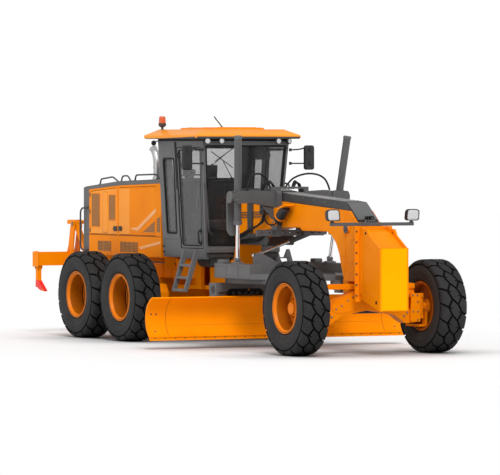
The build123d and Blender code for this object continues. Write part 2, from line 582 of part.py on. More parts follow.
write(rear_frame.part, "rear_frame")

with BuildPart() as tandem_cases:
    for s in (-1, 1):
        side_plate([(-990, 600), (-900, 480), (-300, 440), (300, 440), (900, 480), (990, 600), (990, 750), (900, 870),
                    (300, 905), (-300, 905), (-900, 870), (-990, 750)], s * 705, 290)
        for d in (-0.5, 0.5):
            bar((d * TANDEM_SPACING, s * 850, AXLE_Z), (d * TANDEM_SPACING, s * 945, AXLE_Z), 150)
write(tandem_cases.part, "tandem_cases")

with BuildPart() as engine_block:
    block((-1300, 150), (-380, 380), (1275, 2150))
write(engine_block.part, "engine_block")

# ---- hood: shell, doors and dark cowl ------------------------------------------------
SKIN = 25.0
DOORS = (("rear", [(-1740, 1600), (-760, 1600), (-760, 2336), (-1740, 2272)]),
         ("front", [(-680, 1600), (620, 1600), (620, 2374), (-680, 2340)]))
with BuildPart() as engine_hood:
    side_plate([(-1780, 1270), (800, 1270), (800, 2411), (-714, 2369), (-1780, 2300)], 0, 2 * HOOD_HALF)
    side_plate([(-1800, 1200), (775, 1200), (775, 2386), (-714, 2344), (-1800, 2275)], 0, 2 * (HOOD_HALF - SKIN),
               mode=Mode.SUBTRACT)
    for name, outline in DOORS:
        side_plate(outline, 0, 2 * HOOD_HALF + 20, mode=Mode.SUBTRACT)
write(engine_hood.part, "engine_hood")

for name, outline in DOORS:
    for side, s in SIDES:
        with BuildPart() as hood_door:
            side_plate(shrink(outline, 6), s * (HOOD_HALF - SKIN / 2), SKIN)
        write(hood_door.part, f"hood_door_{name}_{side}")

with BuildPart() as hood_cowl:
    side_plate([(-1985, 1270), (-1780, 1270), (-1780, 2300), (-714, 2369), (800, 2411), (800, 2480), (-714, 2438),
                (-1880, 2350), (-1985, 2330)], 0, 2 * HOOD_HALF)
    block((-1960, -1779), (-520, 520), (1200, 2296), mode=Mode.SUBTRACT)
write(hood_cowl.part, "hood_cowl")

with BuildPart() as exhaust_stack:
    tube_run([(-560, 0, 2450), (-560, 0, 2720), (-600, 0, 2860), (-700, 0, 2950)], 58)
write(exhaust_stack.part, "exhaust_stack")

# ---- ripper ----------------------------------------------------------------------------
PIN_LOW = (RIPPER_PIN_X, RIPPER_LOW + RIPPER_RISE)
PIN_HIGH = (RIPPER_PIN_X, RIPPER_HIGH + RIPPER_RISE)
for name, z in (("ripper_lower_links", RIPPER_LOW), ("ripper_upper_links", RIPPER_HIGH)):
    with BuildPart() as links:
        for s in (-1, 1):
            a, b = (RIPPER_HITCH_X, z), (RIPPER_PIN_X, z + RIPPER_RISE)
            with BuildSketch(Plane.XZ.offset(-s * 500)) as strap:
                with Locations((at(a[0]), a[1]), (at(b[0]), b[1])):
                    Circle(52)
                with BuildLine():
                    length = math.dist(a, b)
                    nx, nz = -(b[1] - a[1]) / length * 40, (b[0] - a[0]) / length * 40
                    Polyline((at(a[0] + nx), a[1] + nz), (at(b[0] + nx), b[1] + nz), (at(b[0] - nx), b[1] - nz),
                             (at(a[0] - nx), a[1] - nz), close=True)
                make_face()
                with Locations((at(a[0]), a[1]), (at(b[0]), b[1])):
                    Circle(24.5, mode=Mode.SUBTRACT)
            extrude(strap.sketch, amount=35, both=True)
    write(links.part, name)

with BuildPart() as ripper_frame:
    block((TAIL_X, -2530), (-1140, 1140), (1080, 1290))
    for s in (-1, 1):
        for y in (442, 558):
            side_plate([(-2660, 1080), (-2420, 1030), (-2400, 1060), (-2400, 1150), (-2475, 1300), (-2400, 1700),
                        (-2400, 1790), (-2430, 1812), (-2520, 1812), (-2620, 1400), (-2680, 1290)], s * y, 25)
        for x, z in (PIN_LOW, PIN_HIGH):
            bar((x, s * 430, z), (x, s * 571, z), 24)
    # top cross tube with the rod's fork
    bar((-2640, -570, 1770), (-2640, 570, 1770), 30)
    for s in (-1, 1):
        for y in (442, 558):
            side_plate([(-2660, 1740), (-2500, 1740), (-2500, 1812), (-2660, 1805)], s * y, 25)
    for y in (-40, 40):
        block((-2660, -2500), (y - 10, y + 10), (1740, 1820))
    # shanks with their points
    for y in (-1095, 0, 1095):
        block((-2665, -2585), (y - 32, y + 32), (860, 1080))
        side_plate([(-2665, 860), (-2585, 860), (-2490, 760), (-2350, 677), (-2450, 690), (-2600, 740)], y, 64)
write(ripper_frame.part, "ripper_frame")

base = (RIPPER_CYL[0][0], 0.0, RIPPER_CYL[0][1])
tip = (RIPPER_CYL[1][0], 0.0, RIPPER_CYL[1][1])
reach = math.dist(base, tip)
with BuildPart() as ripper_barrel:
    bar(base, between(base, tip, 470), 45)
    bar((base[0], -41, base[2]), (base[0], 41, base[2]), 45)
    bar((base[0], -60, base[2]), (base[0], 60, base[2]), 22.5, mode=Mode.SUBTRACT)
    bar(between(base, tip, 52), between(base, tip, 500), 26, mode=Mode.SUBTRACT)
write(ripper_barrel.part, "ripper_barrel")
with BuildPart() as ripper_rod:
    bar(between(base, tip, 430), between(base, tip, reach), 25)
    bar((tip[0], -25, tip[2]), (tip[0], 25, tip[2]), 38)
write(ripper_rod.part, "ripper_rod")

# ---- hoses that arch from the frame to the lift cylinders ---------------------------------
HOSE_R = 14.0
with BuildPart() as lift_hoses:
    for s in (-1, 1):
        radii, length = tube_run([(3480, s * 120, 2347), (3520, s * 180, 2470), (3600, s * 300, 2550), (3690, s * 450, 2580),
                                  (3770, s * 590, 2540), (3815, s * 665, 2440), (3830, s * 690, 2327)], HOSE_R)
        print("hose", round(length), "mm, bends", radii)
write(lift_hoses.part, "lift_hoses")
print("stations: tandem", TANDEM_X)
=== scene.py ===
import bpy, bmesh, math, random
from mathutils import Vector, Matrix


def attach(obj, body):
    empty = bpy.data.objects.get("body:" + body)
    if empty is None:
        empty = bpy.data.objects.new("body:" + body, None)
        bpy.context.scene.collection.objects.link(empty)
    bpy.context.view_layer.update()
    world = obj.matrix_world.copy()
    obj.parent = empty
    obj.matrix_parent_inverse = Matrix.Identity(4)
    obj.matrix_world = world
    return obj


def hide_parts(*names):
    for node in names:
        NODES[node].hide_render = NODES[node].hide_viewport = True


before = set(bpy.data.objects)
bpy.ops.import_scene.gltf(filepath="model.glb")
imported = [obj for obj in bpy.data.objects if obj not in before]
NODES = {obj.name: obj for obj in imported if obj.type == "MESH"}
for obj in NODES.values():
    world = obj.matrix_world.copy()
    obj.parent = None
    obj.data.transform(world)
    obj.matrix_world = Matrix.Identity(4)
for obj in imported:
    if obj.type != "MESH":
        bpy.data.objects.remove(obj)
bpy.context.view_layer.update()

# Stations below are in millimetres from the tandem pivot, as in the CAD source;
# P() turns them into the row frame in metres.
TX = -2143.5
SIDES = (("right", -1), ("left", 1))
random.seed(7)


def P(x, y, z):
    return Vector(((x + TX) / 1000, y / 1000, z / 1000))


# ---- camera first, then the cords ------------------------------------------------
cam_data = bpy.data.cameras.new("camera")
cam = bpy.data.objects.new("camera", cam_data)
bpy.context.scene.collection.objects.link(cam)
cam.location = (57.4945, -29.691, 2.852)
cam.rotation_euler = (Vector((0.4525, 0, 1.607)) - cam.location).to_track_quat("-Z", "Y").to_euler()
cam_data.lens, cam_data.sensor_width, cam_data.clip_end = 308.16, 36, 400
bpy.context.scene.camera = cam


# ---- materials --------------------------------------------------------------------
def new_mat(name, slot=None):
    m = bpy.data.materials.new(name)
    m.use_nodes = True
    return m, m.node_tree.nodes, m.node_tree.links, m.node_tree.nodes["Principled BSDF"]


def noise_of(n, l, scale, detail=4.0, rough=0.6, coord=None):
    if coord is None:
        coord = n.new("ShaderNodeTexCoord").outputs["Object"]
    t = n.new("ShaderNodeTexNoise")
    t.inputs["Scale"].default_value = scale
    t.inputs["Detail"].default_value = detail
    t.inputs["Roughness"].default_value = rough
    l.new(coord, t.inputs["Vector"])
    return t.outputs["Fac"]


def ramp(n, l, fac, stops):
    r = n.new("ShaderNodeValToRGB")
    while len(r.color_ramp.elements) < len(stops):
        r.color_ramp.elements.new(0.5)
    for e, (p, c) in zip(r.color_ramp.elements, stops):
        e.position = p
        e.color = (*c, 1) if len(c) == 3 else c
    l.new(fac, r.inputs["Fac"])
    return r.outputs["Color"]


def mix(n, l, fac, a, b, mode="MIX"):
    m = n.new("ShaderNodeMix")
    m.data_type, m.blend_type = "RGBA", mode
    for i, v in ((0, fac), (6, a), (7, b)):
        if hasattr(v, "default_value") or hasattr(v, "is_linked"):
            l.new(v, m.inputs[i])
        elif i == 0:
            m.inputs[i].default_value = v
        else:
            m.inputs[i].default_value = (*v, 1)
    return m.outputs[2]


def bump(n, l, bsdf, height, strength, distance):
    b = n.new("ShaderNodeBump")
    b.inputs["Strength"].default_value = strength
    b.inputs["Distance"].default_value = distance
    l.new(height, b.inputs["Height"])
    l.new(b.outputs["Normal"], bsdf.inputs["Normal"])


def to_range(n, l, v, lo, hi):
    m = n.new("ShaderNodeMapRange")
    m.inputs["To Min"].default_value, m.inputs["To Max"].default_value = lo, hi
    l.new(v, m.inputs["Value"])
    return m.outputs["Result"]


def painted(name, base, dark, light, rough=(0.30, 0.42), wear=(0.30, 0.24, 0.18), crevice_shade_colour=(0.33, 0.22, 0.13), coat=0.15, crevice_shade_amount=0.35, spec=0.45):
    """Sprayed enamel: slight tone drift, orange peel, painted shade in corners and close to nearby surfaces (the floor
    among them) broken up by noise, thin wear on the edges.
    """
    m, n, l, b = new_mat(name)
    big = noise_of(n, l, 1.3, 3)
    col = ramp(n, l, big, [(0.3, dark), (0.5, base), (0.75, light)])
    # painted shade: ambient occlusion pulls the colour towards the crevice colour in corners and tight gaps, broken up
    # by noise
    ao = n.new("ShaderNodeAmbientOcclusion")
    ao.samples, ao.inputs["Distance"].default_value = 4, 0.12
    inv = n.new("ShaderNodeMath"); inv.operation = "SUBTRACT"; inv.inputs[0].default_value = 1.0
    l.new(ao.outputs["AO"], inv.inputs[1])
    crevice_shade_mask = n.new("ShaderNodeMath"); crevice_shade_mask.operation = "MULTIPLY"
    l.new(inv.outputs[0], crevice_shade_mask.inputs[0]); l.new(to_range(n, l, noise_of(n, l, 9, 6, 0.7), 0.2, 1.3), crevice_shade_mask.inputs[1])
    cut = n.new("ShaderNodeMath"); cut.operation = "MULTIPLY"; cut.use_clamp = True
    l.new(crevice_shade_mask.outputs[0], cut.inputs[0]); cut.inputs[1].default_value = crevice_shade_amount
    col = mix(n, l, cut.outputs[0], col, crevice_shade_colour)
    # edge wear from the rounded normal
    bev = n.new("ShaderNodeBevel"); bev.samples = 3; bev.inputs["Radius"].default_value = 0.004
    geo = n.new("ShaderNodeNewGeometry")
    dot = n.new("ShaderNodeVectorMath"); dot.operation = "DOT_PRODUCT"
    l.new(bev.outputs["Normal"], dot.inputs[0]); l.new(geo.outputs["Normal"], dot.inputs[1])
    edge = n.new("ShaderNodeMapRange")
    edge.inputs["From Min"].default_value, edge.inputs["From Max"].default_value = 0.97, 0.80
    l.new(dot.outputs["Value"], edge.inputs["Value"])
    spots = n.new("ShaderNodeMapRange")
    spots.inputs["From Min"].default_value, spots.inputs["From Max"].default_value = 0.52, 0.68
    l.new(noise_of(n, l, 14, 8, 0.75), spots.inputs["Value"])
    both = n.new("ShaderNodeMath"); both.operation = "MULTIPLY"; both.use_clamp = True
    l.new(edge.outputs["Result"], both.inputs[0]); l.new(spots.outputs["Result"], both.inputs[1])
    half = n.new("ShaderNodeMath"); half.operation = "MULTIPLY"; half.inputs[1].default_value = 0.55
    l.new(both.outputs[0], half.inputs[0])
    col = mix(n, l, half.outputs[0], col, wear)
    l.new(col, b.inputs["Base Color"])
    l.new(to_range(n, l, noise_of(n, l, 5, 6, 0.65), *rough), b.inputs["Roughness"])
    b.inputs["Coat Weight"].default_value = coat
    b.inputs["Coat Roughness"].default_value = 0.12
    b.inputs["Specular IOR Level"].default_value = spec
    bump(n, l, b, noise_of(n, l, 260, 2, 0.5), 0.12, 0.0006)
    return m


def rubber(name, base, light, scale=30.0, rough=(0.62, 0.85), strength=0.35):
    m, n, l, b = new_mat(name)
    f = noise_of(n, l, 2.2, 6, 0.7)
    col = ramp(n, l, f, [(0.35, base), (0.7, light)])
    # painted shade: ambient occlusion darkens the rubber in its crevices
    ao = n.new("ShaderNodeAmbientOcclusion")
    ao.samples, ao.inputs["Distance"].default_value = 4, 0.05
    col = mix(n, l, 0.85, col, ramp(n, l, ao.outputs["AO"], [(0.35, (0.12, 0.12, 0.12)), (0.85, (1, 1, 1))]), "MULTIPLY")
    l.new(col, b.inputs["Base Color"])
    l.new(to_range(n, l, noise_of(n, l, 11, 5), *rough), b.inputs["Roughness"])
    b.inputs["Specular IOR Level"].default_value = 0.18
    bump(n, l, b, noise_of(n, l, scale, 8, 0.7), strength, 0.002)
    return m


def metal(name, base, dark, rough=(0.12, 0.3), scale=40.0, strength=0.08, streak=None):
    m, n, l, b = new_mat(name)
    tc = n.new("ShaderNodeTexCoord").outputs["Object"]
    if streak:
        mp = n.new("ShaderNodeMapping"); mp.inputs["Scale"].default_value = streak
        l.new(tc, mp.inputs["Vector"]); tc = mp.outputs["Vector"]
    f = noise_of(n, l, scale, 6, 0.65, tc)
    l.new(ramp(n, l, f, [(0.3, dark), (0.65, base)]), b.inputs["Base Color"])
    b.inputs["Metallic"].default_value = 1.0
    l.new(to_range(n, l, f, rough[1], rough[0]), b.inputs["Roughness"])
    bump(n, l, b, f, strength, 0.0008)
    return m


def cast(name, base, light, metallic=0.2, rough=(0.5, 0.75), scale=120.0):
    m, n, l, b = new_mat(name)
    col = ramp(n, l, noise_of(n, l, 6, 7, 0.7), [(0.3, base), (0.72, light)])
    l.new(col, b.inputs["Base Color"])
    b.inputs["Metallic"].default_value = metallic
    l.new(to_range(n, l, noise_of(n, l, 18, 5), *rough), b.inputs["Roughness"])
    bump(n, l, b, noise_of(n, l, scale, 6, 0.7), 0.35, 0.0012)
    return m


def mesh_steel(name, base, light, pitch, hole):
    """Woven or expanded sheet, drawn as a fine grid of openings painted dark as the shade behind them."""
    m, n, l, b = new_mat(name)
    tc = n.new("ShaderNodeTexCoord").outputs["Object"]
    sep = n.new("ShaderNodeSeparateXYZ"); l.new(tc, sep.inputs[0])
    hs = []
    for axis in (0, 2):
        mul = n.new("ShaderNodeMath"); mul.operation = "MULTIPLY"; mul.inputs[1].default_value = 2 * math.pi / pitch
        l.new(sep.outputs[axis], mul.inputs[0])
        s = n.new("ShaderNodeMath"); s.operation = "SINE"; l.new(mul.outputs[0], s.inputs[0])
        hs.append(s.outputs[0])
    prod = n.new("ShaderNodeMath"); prod.operation = "ADD"; l.new(hs[0], prod.inputs[0]); l.new(hs[1], prod.inputs[1])
    mr = n.new("ShaderNodeMapRange"); mr.inputs["From Min"].default_value, mr.inputs["From Max"].default_value = hole, hole + 0.5
    l.new(prod.outputs[0], mr.inputs["Value"])
    tone = ramp(n, l, noise_of(n, l, 7), [(0.3, base), (0.7, light)])
    l.new(mix(n, l, mr.outputs["Result"], tone, tuple(c * 0.22 for c in base)), b.inputs["Base Color"])
    b.inputs["Roughness"].default_value = 0.5
    bump(n, l, b, prod.outputs[0], -0.5, 0.003)
    return m


OR, OD, OL = (0.93, 0.255, 0.0008), (0.89, 0.235, 0.0005), (0.96, 0.275, 0.0015)
# each enamel's crevice colour below is the painted shade it takes in corners and crevices
M = {
    "orange": painted("orange_enamel", OR, OD, OL, coat=0.0, spec=0.05, crevice_shade_colour=(0.36, 0.14, 0.02)),
    # a paler copy of the orange: painted light on the cab roof, the rear hood doors and raised pressings
    "soft": painted("orange_painted_light_enamel", (0.97, 0.325, 0.020), (0.94, 0.300, 0.015), (0.99, 0.350, 0.026), rough=(0.26, 0.38), coat=0.0, spec=0.16, crevice_shade_amount=0.3, crevice_shade_colour=(0.36, 0.16, 0.04)),
    "blade": painted("blade_enamel", (0.97, 0.275, 0.001), (0.93, 0.250, 0.001), (1.0, 0.300, 0.002), rough=(0.34, 0.5), crevice_shade_amount=0.15, coat=0.0, spec=0.03, crevice_shade_colour=(0.36, 0.14, 0.02)),
    "yellow": painted("push_plate_enamel", (1.0, 0.395, 0.0), (0.99, 0.378, 0.0), (1.0, 0.412, 0.0), crevice_shade_amount=0.1, coat=0.0, spec=0.02, crevice_shade_colour=(0.5, 0.25, 0.02)),
    # a paler copy of the orange: painted highlight on the hood's pressed creases
    "crease_highlight": painted("crease_painted_highlight", (0.95, 0.44, 0.16), (0.90, 0.40, 0.13), (0.97, 0.48, 0.20), rough=(0.25, 0.4), coat=0.0, spec=0.25),
    "rim": painted("rim_enamel", (0.82, 0.205, 0.002), (0.74, 0.175, 0.002), (0.90, 0.235, 0.003), rough=(0.3, 0.45), crevice_shade_amount=0.8, crevice_shade_colour=(0.20, 0.075, 0.01), coat=0.0, spec=0.16),
    # a darker copy of the rim enamel: painted shade for the deep barrel, the rear discs and their nuts
    "rim_shaded": painted("rim_inner_painted_shade", (0.36, 0.092, 0.001), (0.29, 0.072, 0.001), (0.44, 0.115, 0.002), rough=(0.35, 0.5), crevice_shade_amount=0.6, crevice_shade_colour=(0.12, 0.04, 0.006), coat=0.0, spec=0.14),
    # a near-black copy of the rim enamel: painted shadow in the groove under the rim's lip
    "rim_line": painted("rim_groove_painted_shadow", (0.20, 0.055, 0.002), (0.16, 0.045, 0.002), (0.26, 0.07, 0.003), coat=0.0, spec=0.1),
    # a darker copy of the orange: painted shade along the blade's seams and round the hood's pressings
    "orange_shade": painted("seam_painted_shade_enamel", (0.60, 0.165, 0.002), (0.52, 0.14, 0.002), (0.68, 0.19, 0.003), coat=0.0, spec=0.12),
    "grey": painted("grey_enamel", (0.116, 0.117, 0.119), (0.102, 0.103, 0.105), (0.134, 0.135, 0.138), rough=(0.38, 0.52), wear=(0.3, 0.3, 0.3), crevice_shade_colour=(0.10, 0.095, 0.085), coat=0.0, crevice_shade_amount=0.4, spec=0.35),
    "grey_mid": painted("cylinder_enamel", (0.085, 0.086, 0.088), (0.070, 0.071, 0.073), (0.102, 0.103, 0.105), rough=(0.34, 0.46), wear=(0.25, 0.25, 0.25), crevice_shade_colour=(0.08, 0.075, 0.068), coat=0.05, crevice_shade_amount=0.4, spec=0.4),
    "grey_dark": painted("dark_grey_enamel", (0.050, 0.051, 0.053), (0.040, 0.041, 0.043), (0.066, 0.067, 0.069), rough=(0.4, 0.55), wear=(0.22, 0.22, 0.22), crevice_shade_colour=(0.07, 0.06, 0.05), coat=0.0, crevice_shade_amount=0.4, spec=0.35),
    "grey_light": painted("tread_plate", (0.24, 0.235, 0.23), (0.19, 0.19, 0.185), (0.30, 0.295, 0.29), rough=(0.35, 0.5), coat=0.0, crevice_shade_amount=0.3),
    "red": painted("tip_enamel", (0.85, 0.012, 0.012), (0.70, 0.01, 0.01), (0.93, 0.02, 0.02), crevice_shade_amount=0.2),
    "tyre": rubber("tyre_rubber", (0.019, 0.019, 0.0195), (0.032, 0.032, 0.0325)),
    # a near-black copy of the tread rubber: painted shade on the lug walls and groove floors
    "tread_shade": rubber("tread_groove_painted_shade", (0.0035, 0.0035, 0.0035), (0.0065, 0.0065, 0.0065)),
    "tyre_side": rubber("sidewall_rubber", (0.026, 0.026, 0.0265), (0.040, 0.0395, 0.039), 60.0, (0.6, 0.8), 0.15),
    "hose": rubber("hose_rubber", (0.008, 0.008, 0.008), (0.02, 0.02, 0.02), 90, (0.4, 0.6), 0.2),
    "seal": rubber("seal_rubber", (0.006, 0.006, 0.006), (0.014, 0.014, 0.014), 60, (0.45, 0.65), 0.15),
    "chrome": metal("polished_rod", (0.90, 0.90, 0.91), (0.70, 0.70, 0.71), (0.08, 0.16), 22, 0.03, (1, 1, 0.1)),
    "stack": metal("stack_chrome", (0.66, 0.66, 0.67), (0.48, 0.47, 0.46), (0.2, 0.36), 12, 0.05),
    "steel": metal("worn_steel", (0.30, 0.29, 0.28), (0.12, 0.115, 0.11), (0.38, 0.6), 30, 0.3),
    "bolt": metal("zinc_bolts", (0.36, 0.34, 0.31), (0.16, 0.15, 0.14), (0.35, 0.55), 60, 0.2),
    "iron": cast("engine_casting", (0.035, 0.033, 0.032), (0.085, 0.08, 0.078), 0.3),
    "plastic": cast("black_plastic", (0.010, 0.010, 0.011), (0.022, 0.022, 0.023), 0.0, (0.38, 0.55), 350),
    "trim": cast("cab_trim", (0.030, 0.029, 0.029), (0.055, 0.053, 0.052), 0.0, (0.55, 0.7), 420),
    "brown": cast("floor_trim", (0.055, 0.030, 0.016), (0.095, 0.052, 0.028), 0.0, (0.5, 0.7), 200),
    # grille and louvre sheets in a darker copy of the orange: painted shade of the recessed mesh
    "louvre": mesh_steel("louvre_mesh", (0.44, 0.17, 0.022), (0.54, 0.21, 0.03), 0.016, 0.3),
    "grille": mesh_steel("grille_mesh", (0.40, 0.15, 0.02), (0.50, 0.19, 0.026), 0.024, 0.2),
}

# glass: thin tinted panes, lenses and the beacon
m, n, l, b = new_mat("tinted_glass")
for k, v in (("Roughness", 0.03), ("IOR", 1.5), ("Specular IOR Level", 0.5), ("Metallic", 0.0)):
    b.inputs[k].default_value = v
f = noise_of(n, l, 1.6, 3)
tone = ramp(n, l, f, [(0.3, (0.165, 0.167, 0.170)), (0.7, (0.20, 0.202, 0.205))])
# painted reflection: towards grazing view the pane turns paler grey and less clear, standing in for the bright surround
# it reflects
lw = n.new("ShaderNodeLayerWeight"); lw.inputs["Blend"].default_value = 0.5
turnoff = n.new("ShaderNodeMapRange")
turnoff.inputs["From Min"].default_value, turnoff.inputs["From Max"].default_value = 0.10, 0.55
turnoff.inputs["To Min"].default_value, turnoff.inputs["To Max"].default_value = 0.17, 0.36
l.new(lw.outputs["Facing"], turnoff.inputs["Value"])
haze = n.new("ShaderNodeMath"); haze.operation = "ADD"
l.new(turnoff.outputs["Result"], haze.inputs[0]); l.new(to_range(n, l, noise_of(n, l, 3.5, 5), 0.0, 0.06), haze.inputs[1])
l.new(haze.outputs[0], b.inputs["Alpha"])
share = n.new("ShaderNodeMapRange")
share.inputs["From Min"].default_value, share.inputs["From Max"].default_value = 0.10, 0.50
l.new(lw.outputs["Facing"], share.inputs["Value"])
l.new(mix(n, l, share.outputs["Result"], (0.045, 0.045, 0.047), tone), b.inputs["Base Color"])
M["glass"] = m
m, n, l, b = new_mat("lamp_lens")
wave = n.new("ShaderNodeTexWave"); wave.inputs["Scale"].default_value = 26; wave.inputs["Distortion"].default_value = 0.4
wave.bands_direction = "Z"
l.new(n.new("ShaderNodeTexCoord").outputs["Object"], wave.inputs["Vector"])
l.new(ramp(n, l, wave.outputs["Fac"], [(0.2, (0.46, 0.46, 0.47)), (0.8, (0.62, 0.62, 0.63))]), b.inputs["Base Color"])
b.inputs["Roughness"].default_value, b.inputs["Coat Weight"].default_value = 0.25, 0.8
bump(n, l, b, wave.outputs["Fac"], 0.3, 0.002)
M["lens"] = m
m, n, l, b = new_mat("beacon_lens")
wave = n.new("ShaderNodeTexWave"); wave.inputs["Scale"].default_value = 40; wave.bands_direction = "Z"
l.new(n.new("ShaderNodeTexCoord").outputs["Object"], wave.inputs["Vector"])
l.new(ramp(n, l, wave.outputs["Fac"], [(0.2, (0.70, 0.085, 0.006)), (0.8, (0.88, 0.15, 0.014))]), b.inputs["Base Color"])
b.inputs["Roughness"].default_value, b.inputs["Coat Weight"].default_value = 0.18, 0.7
b.inputs["Transmission Weight"].default_value = 0.25
bump(n, l, b, wave.outputs["Fac"], 0.25, 0.003)
M["beacon"] = m
# woven seat cloth
m, n, l, b = new_mat("seat_weave")
tc = n.new("ShaderNodeTexCoord").outputs["Object"]
hs = []
for d in ("X", "Y"):
    w = n.new("ShaderNodeTexWave"); w.inputs["Scale"].default_value = 95; w.bands_direction = d
    w.inputs["Distortion"].default_value = 0.6
    l.new(tc, w.inputs["Vector"]); hs.append(w.outputs["Fac"])
wv = n.new("ShaderNodeMath"); wv.operation = "MULTIPLY"; l.new(hs[0], wv.inputs[0]); l.new(hs[1], wv.inputs[1])
col = ramp(n, l, noise_of(n, l, 5), [(0.35, (0.028, 0.028, 0.030)), (0.7, (0.055, 0.055, 0.058))])
l.new(mix(n, l, wv.outputs[0], col, (0.09, 0.09, 0.095)), b.inputs["Base Color"])
b.inputs["Roughness"].default_value, b.inputs["Sheen Weight"].default_value = 0.88, 0.35
bump(n, l, b, wv.outputs[0], 0.45, 0.0015)
M["cloth"] = m


# ---- mesh builder ---------------------------------------------------------------------
def rounded(pts, r, steps=4):
    """Closed outline with its corners rounded."""
    out, k = [], len(pts)
    for i in range(k):
        p, a, c = Vector(pts[i]), Vector(pts[i - 1]), Vector(pts[(i + 1) % k])
        u, v = a - p, c - p
        cut = min(r, u.length * 0.48, v.length * 0.48)
        s, e = p + u.normalized() * cut, p + v.normalized() * cut
        for j in range(steps + 1):
            t = j / steps
            out.append(tuple(s * (1 - t) ** 2 + p * 2 * t * (1 - t) + e * t ** 2))
    return out


def inset(pts, d):
    """Closed outline moved in by d, whatever its direction."""
    k = len(pts)
    area = sum(pts[i][0] * pts[(i + 1) % k][1] - pts[(i + 1) % k][0] * pts[i][1] for i in range(k))
    sign = 1 if area > 0 else -1
    out = []
    for i in range(k):
        a, p, c = Vector(pts[i - 1]), Vector(pts[i]), Vector(pts[(i + 1) % k])
        n1 = Vector((-(p - a).y, (p - a).x)) * sign
        n2 = Vector((-(c - p).y, (c - p).x)) * sign
        if n1.length < 1e-9 or n2.length < 1e-9:
            n1 = n2 = n1 if n1.length > n2.length else n2
        n1.normalize(); n2.normalize()
        b = (n1 + n2)
        b = b.normalized() / max(0.35, b.normalized().dot(n1)) if b.length > 1e-6 else n1
        out.append(tuple(p + b * d))
    return out


class Shape:
    """Collects faces in tandem millimetres; each face keeps its material."""

    def __init__(self):
        self.v, self.f, self.m, self.mats, self.cur = [], [], [], [], 0

    def mat(self, key):
        if key not in self.mats:
            self.mats.append(key)
        self.cur = self.mats.index(key)
        return self

    def face(self, idx):
        self.f.append(idx); self.m.append(self.cur)

    def loops(self, rings, closed_ring=True, cap=True, wrap=False):
        """Skins a list of equal-length rings of 3-D points."""
        base, k = len(self.v), len(rings[0])
        for r in rings:
            self.v += [tuple(p) for p in r]
        count = len(rings)
        for i in range(count if wrap else count - 1):
            a, b = base + i * k, base + ((i + 1) % count) * k
            for j in range(k if closed_ring else k - 1):
                self.face([a + j, a + (j + 1) % k, b + (j + 1) % k, b + j])
        if cap and not wrap:
            self.face([base + j for j in reversed(range(k))])
            self.face([base + (count - 1) * k + j for j in range(k)])
        return self

    def prism(self, axis, outline, mid, width):
        def q(p, t):
            return {"x": (t, p[0], p[1]), "y": (p[0], t, p[1]), "z": (p[0], p[1], t)}[axis]
        return self.loops([[q(p, mid - width / 2) for p in outline], [q(p, mid + width / 2) for p in outline]])

    def box(self, x, y, z):
        return self.prism("z", [(x[0], y[0]), (x[1], y[0]), (x[1], y[1]), (x[0], y[1])], (z[0] + z[1]) / 2, z[1] - z[0])

    def turn(self, p, direction, profile, n=32, close=False):
        """Body of revolution from p along direction: profile of (distance along, radius)."""
        d = Vector(direction).normalized()
        u = d.orthogonal().normalized(); w = d.cross(u)
        p = Vector(p)
        rings = []
        for a, r in profile:
            r = max(r, 0.05)
            rings.append([p + d * a + (u * math.cos(t) + w * math.sin(t)) * r for t in (2 * math.pi * i / n for i in range(n))])
        return self.loops(rings, cap=not close, wrap=close)

    def rod(self, p, q, r, n=24, r2=None, chamfer=0.0):
        L = (Vector(q) - Vector(p)).length
        c = min(chamfer, L / 3, r / 2)
        prof = [(0, r), (L, r2 or r)] if not c else [(0, r - c), (c, r), (L - c, r2 or r), (L, (r2 or r) - c)]
        return self.turn(p, Vector(q) - Vector(p), prof, n)

    def hexa(self, p, direction, r, h):
        """Bolt head on a washer, standing h proud of p."""
        self.turn(p, direction, [(0, r * 1.25), (h * 0.22, r * 1.25)], 12)
        self.turn(p, direction, [(h * 0.2, r), (h * 0.85, r), (h, r * 0.86)], 6)
        return self

    def tube(self, pts, r, n=12, bend=None, steps=5):
        """Bent tube through straight runs with rounded corners."""
        pts = [Vector(p) for p in pts]
        line = [pts[0]]
        for i in range(1, len(pts) - 1):
            u, v = pts[i - 1] - pts[i], pts[i + 1] - pts[i]
            cut = min(bend or 3 * r, u.length * 0.45, v.length * 0.45)
            s, e = pts[i] + u.normalized() * cut, pts[i] + v.normalized() * cut
            for j in range(steps + 1):
                t = j / steps
                line.append(s * (1 - t) ** 2 + pts[i] * 2 * t * (1 - t) + e * t ** 2)
        line.append(pts[-1])
        rings, up = [], None
        for i, p in enumerate(line):
            d = (line[min(i + 1, len(line) - 1)] - line[max(i - 1, 0)]).normalized()
            up = d.orthogonal().normalized() if up is None else (up - d * up.dot(d)).normalized()
            w = d.cross(up)
            rings.append([p + (up * math.cos(t) + w * math.sin(t)) * r for t in (2 * math.pi * k / n for k in range(n))])
        return self.loops(rings)

    def object(self, name, body, bevel=0.0, smooth=35.0, segments=2, slot=None):
        me = bpy.data.meshes.new(name)
        me.from_pydata([P(*v) for v in self.v], [], self.f)
        for key in self.mats:
            me.materials.append(M[key])
        me.polygons.foreach_set("material_index", self.m)
        bm = bmesh.new(); bm.from_mesh(me)
        bmesh.ops.remove_doubles(bm, verts=bm.verts, dist=1e-6)
        bmesh.ops.recalc_face_normals(bm, faces=bm.faces)
        bm.to_mesh(me); bm.free()
        me.update()
        me.shade_smooth()
        me.set_sharp_from_angle(angle=math.radians(smooth))
        o = bpy.data.objects.new(name, me)
        bpy.context.scene.collection.objects.link(o)
        if bevel:
            md = o.modifiers.new("edges", "BEVEL")
            md.width, md.segments, md.limit_method, md.angle_limit = bevel / 1000, segments, "ANGLE", math.radians(32)
            md.harden_normals = False
            o.modifiers.new("shade", "WEIGHTED_NORMAL").keep_sharp = False
        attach(o, body)
        return o


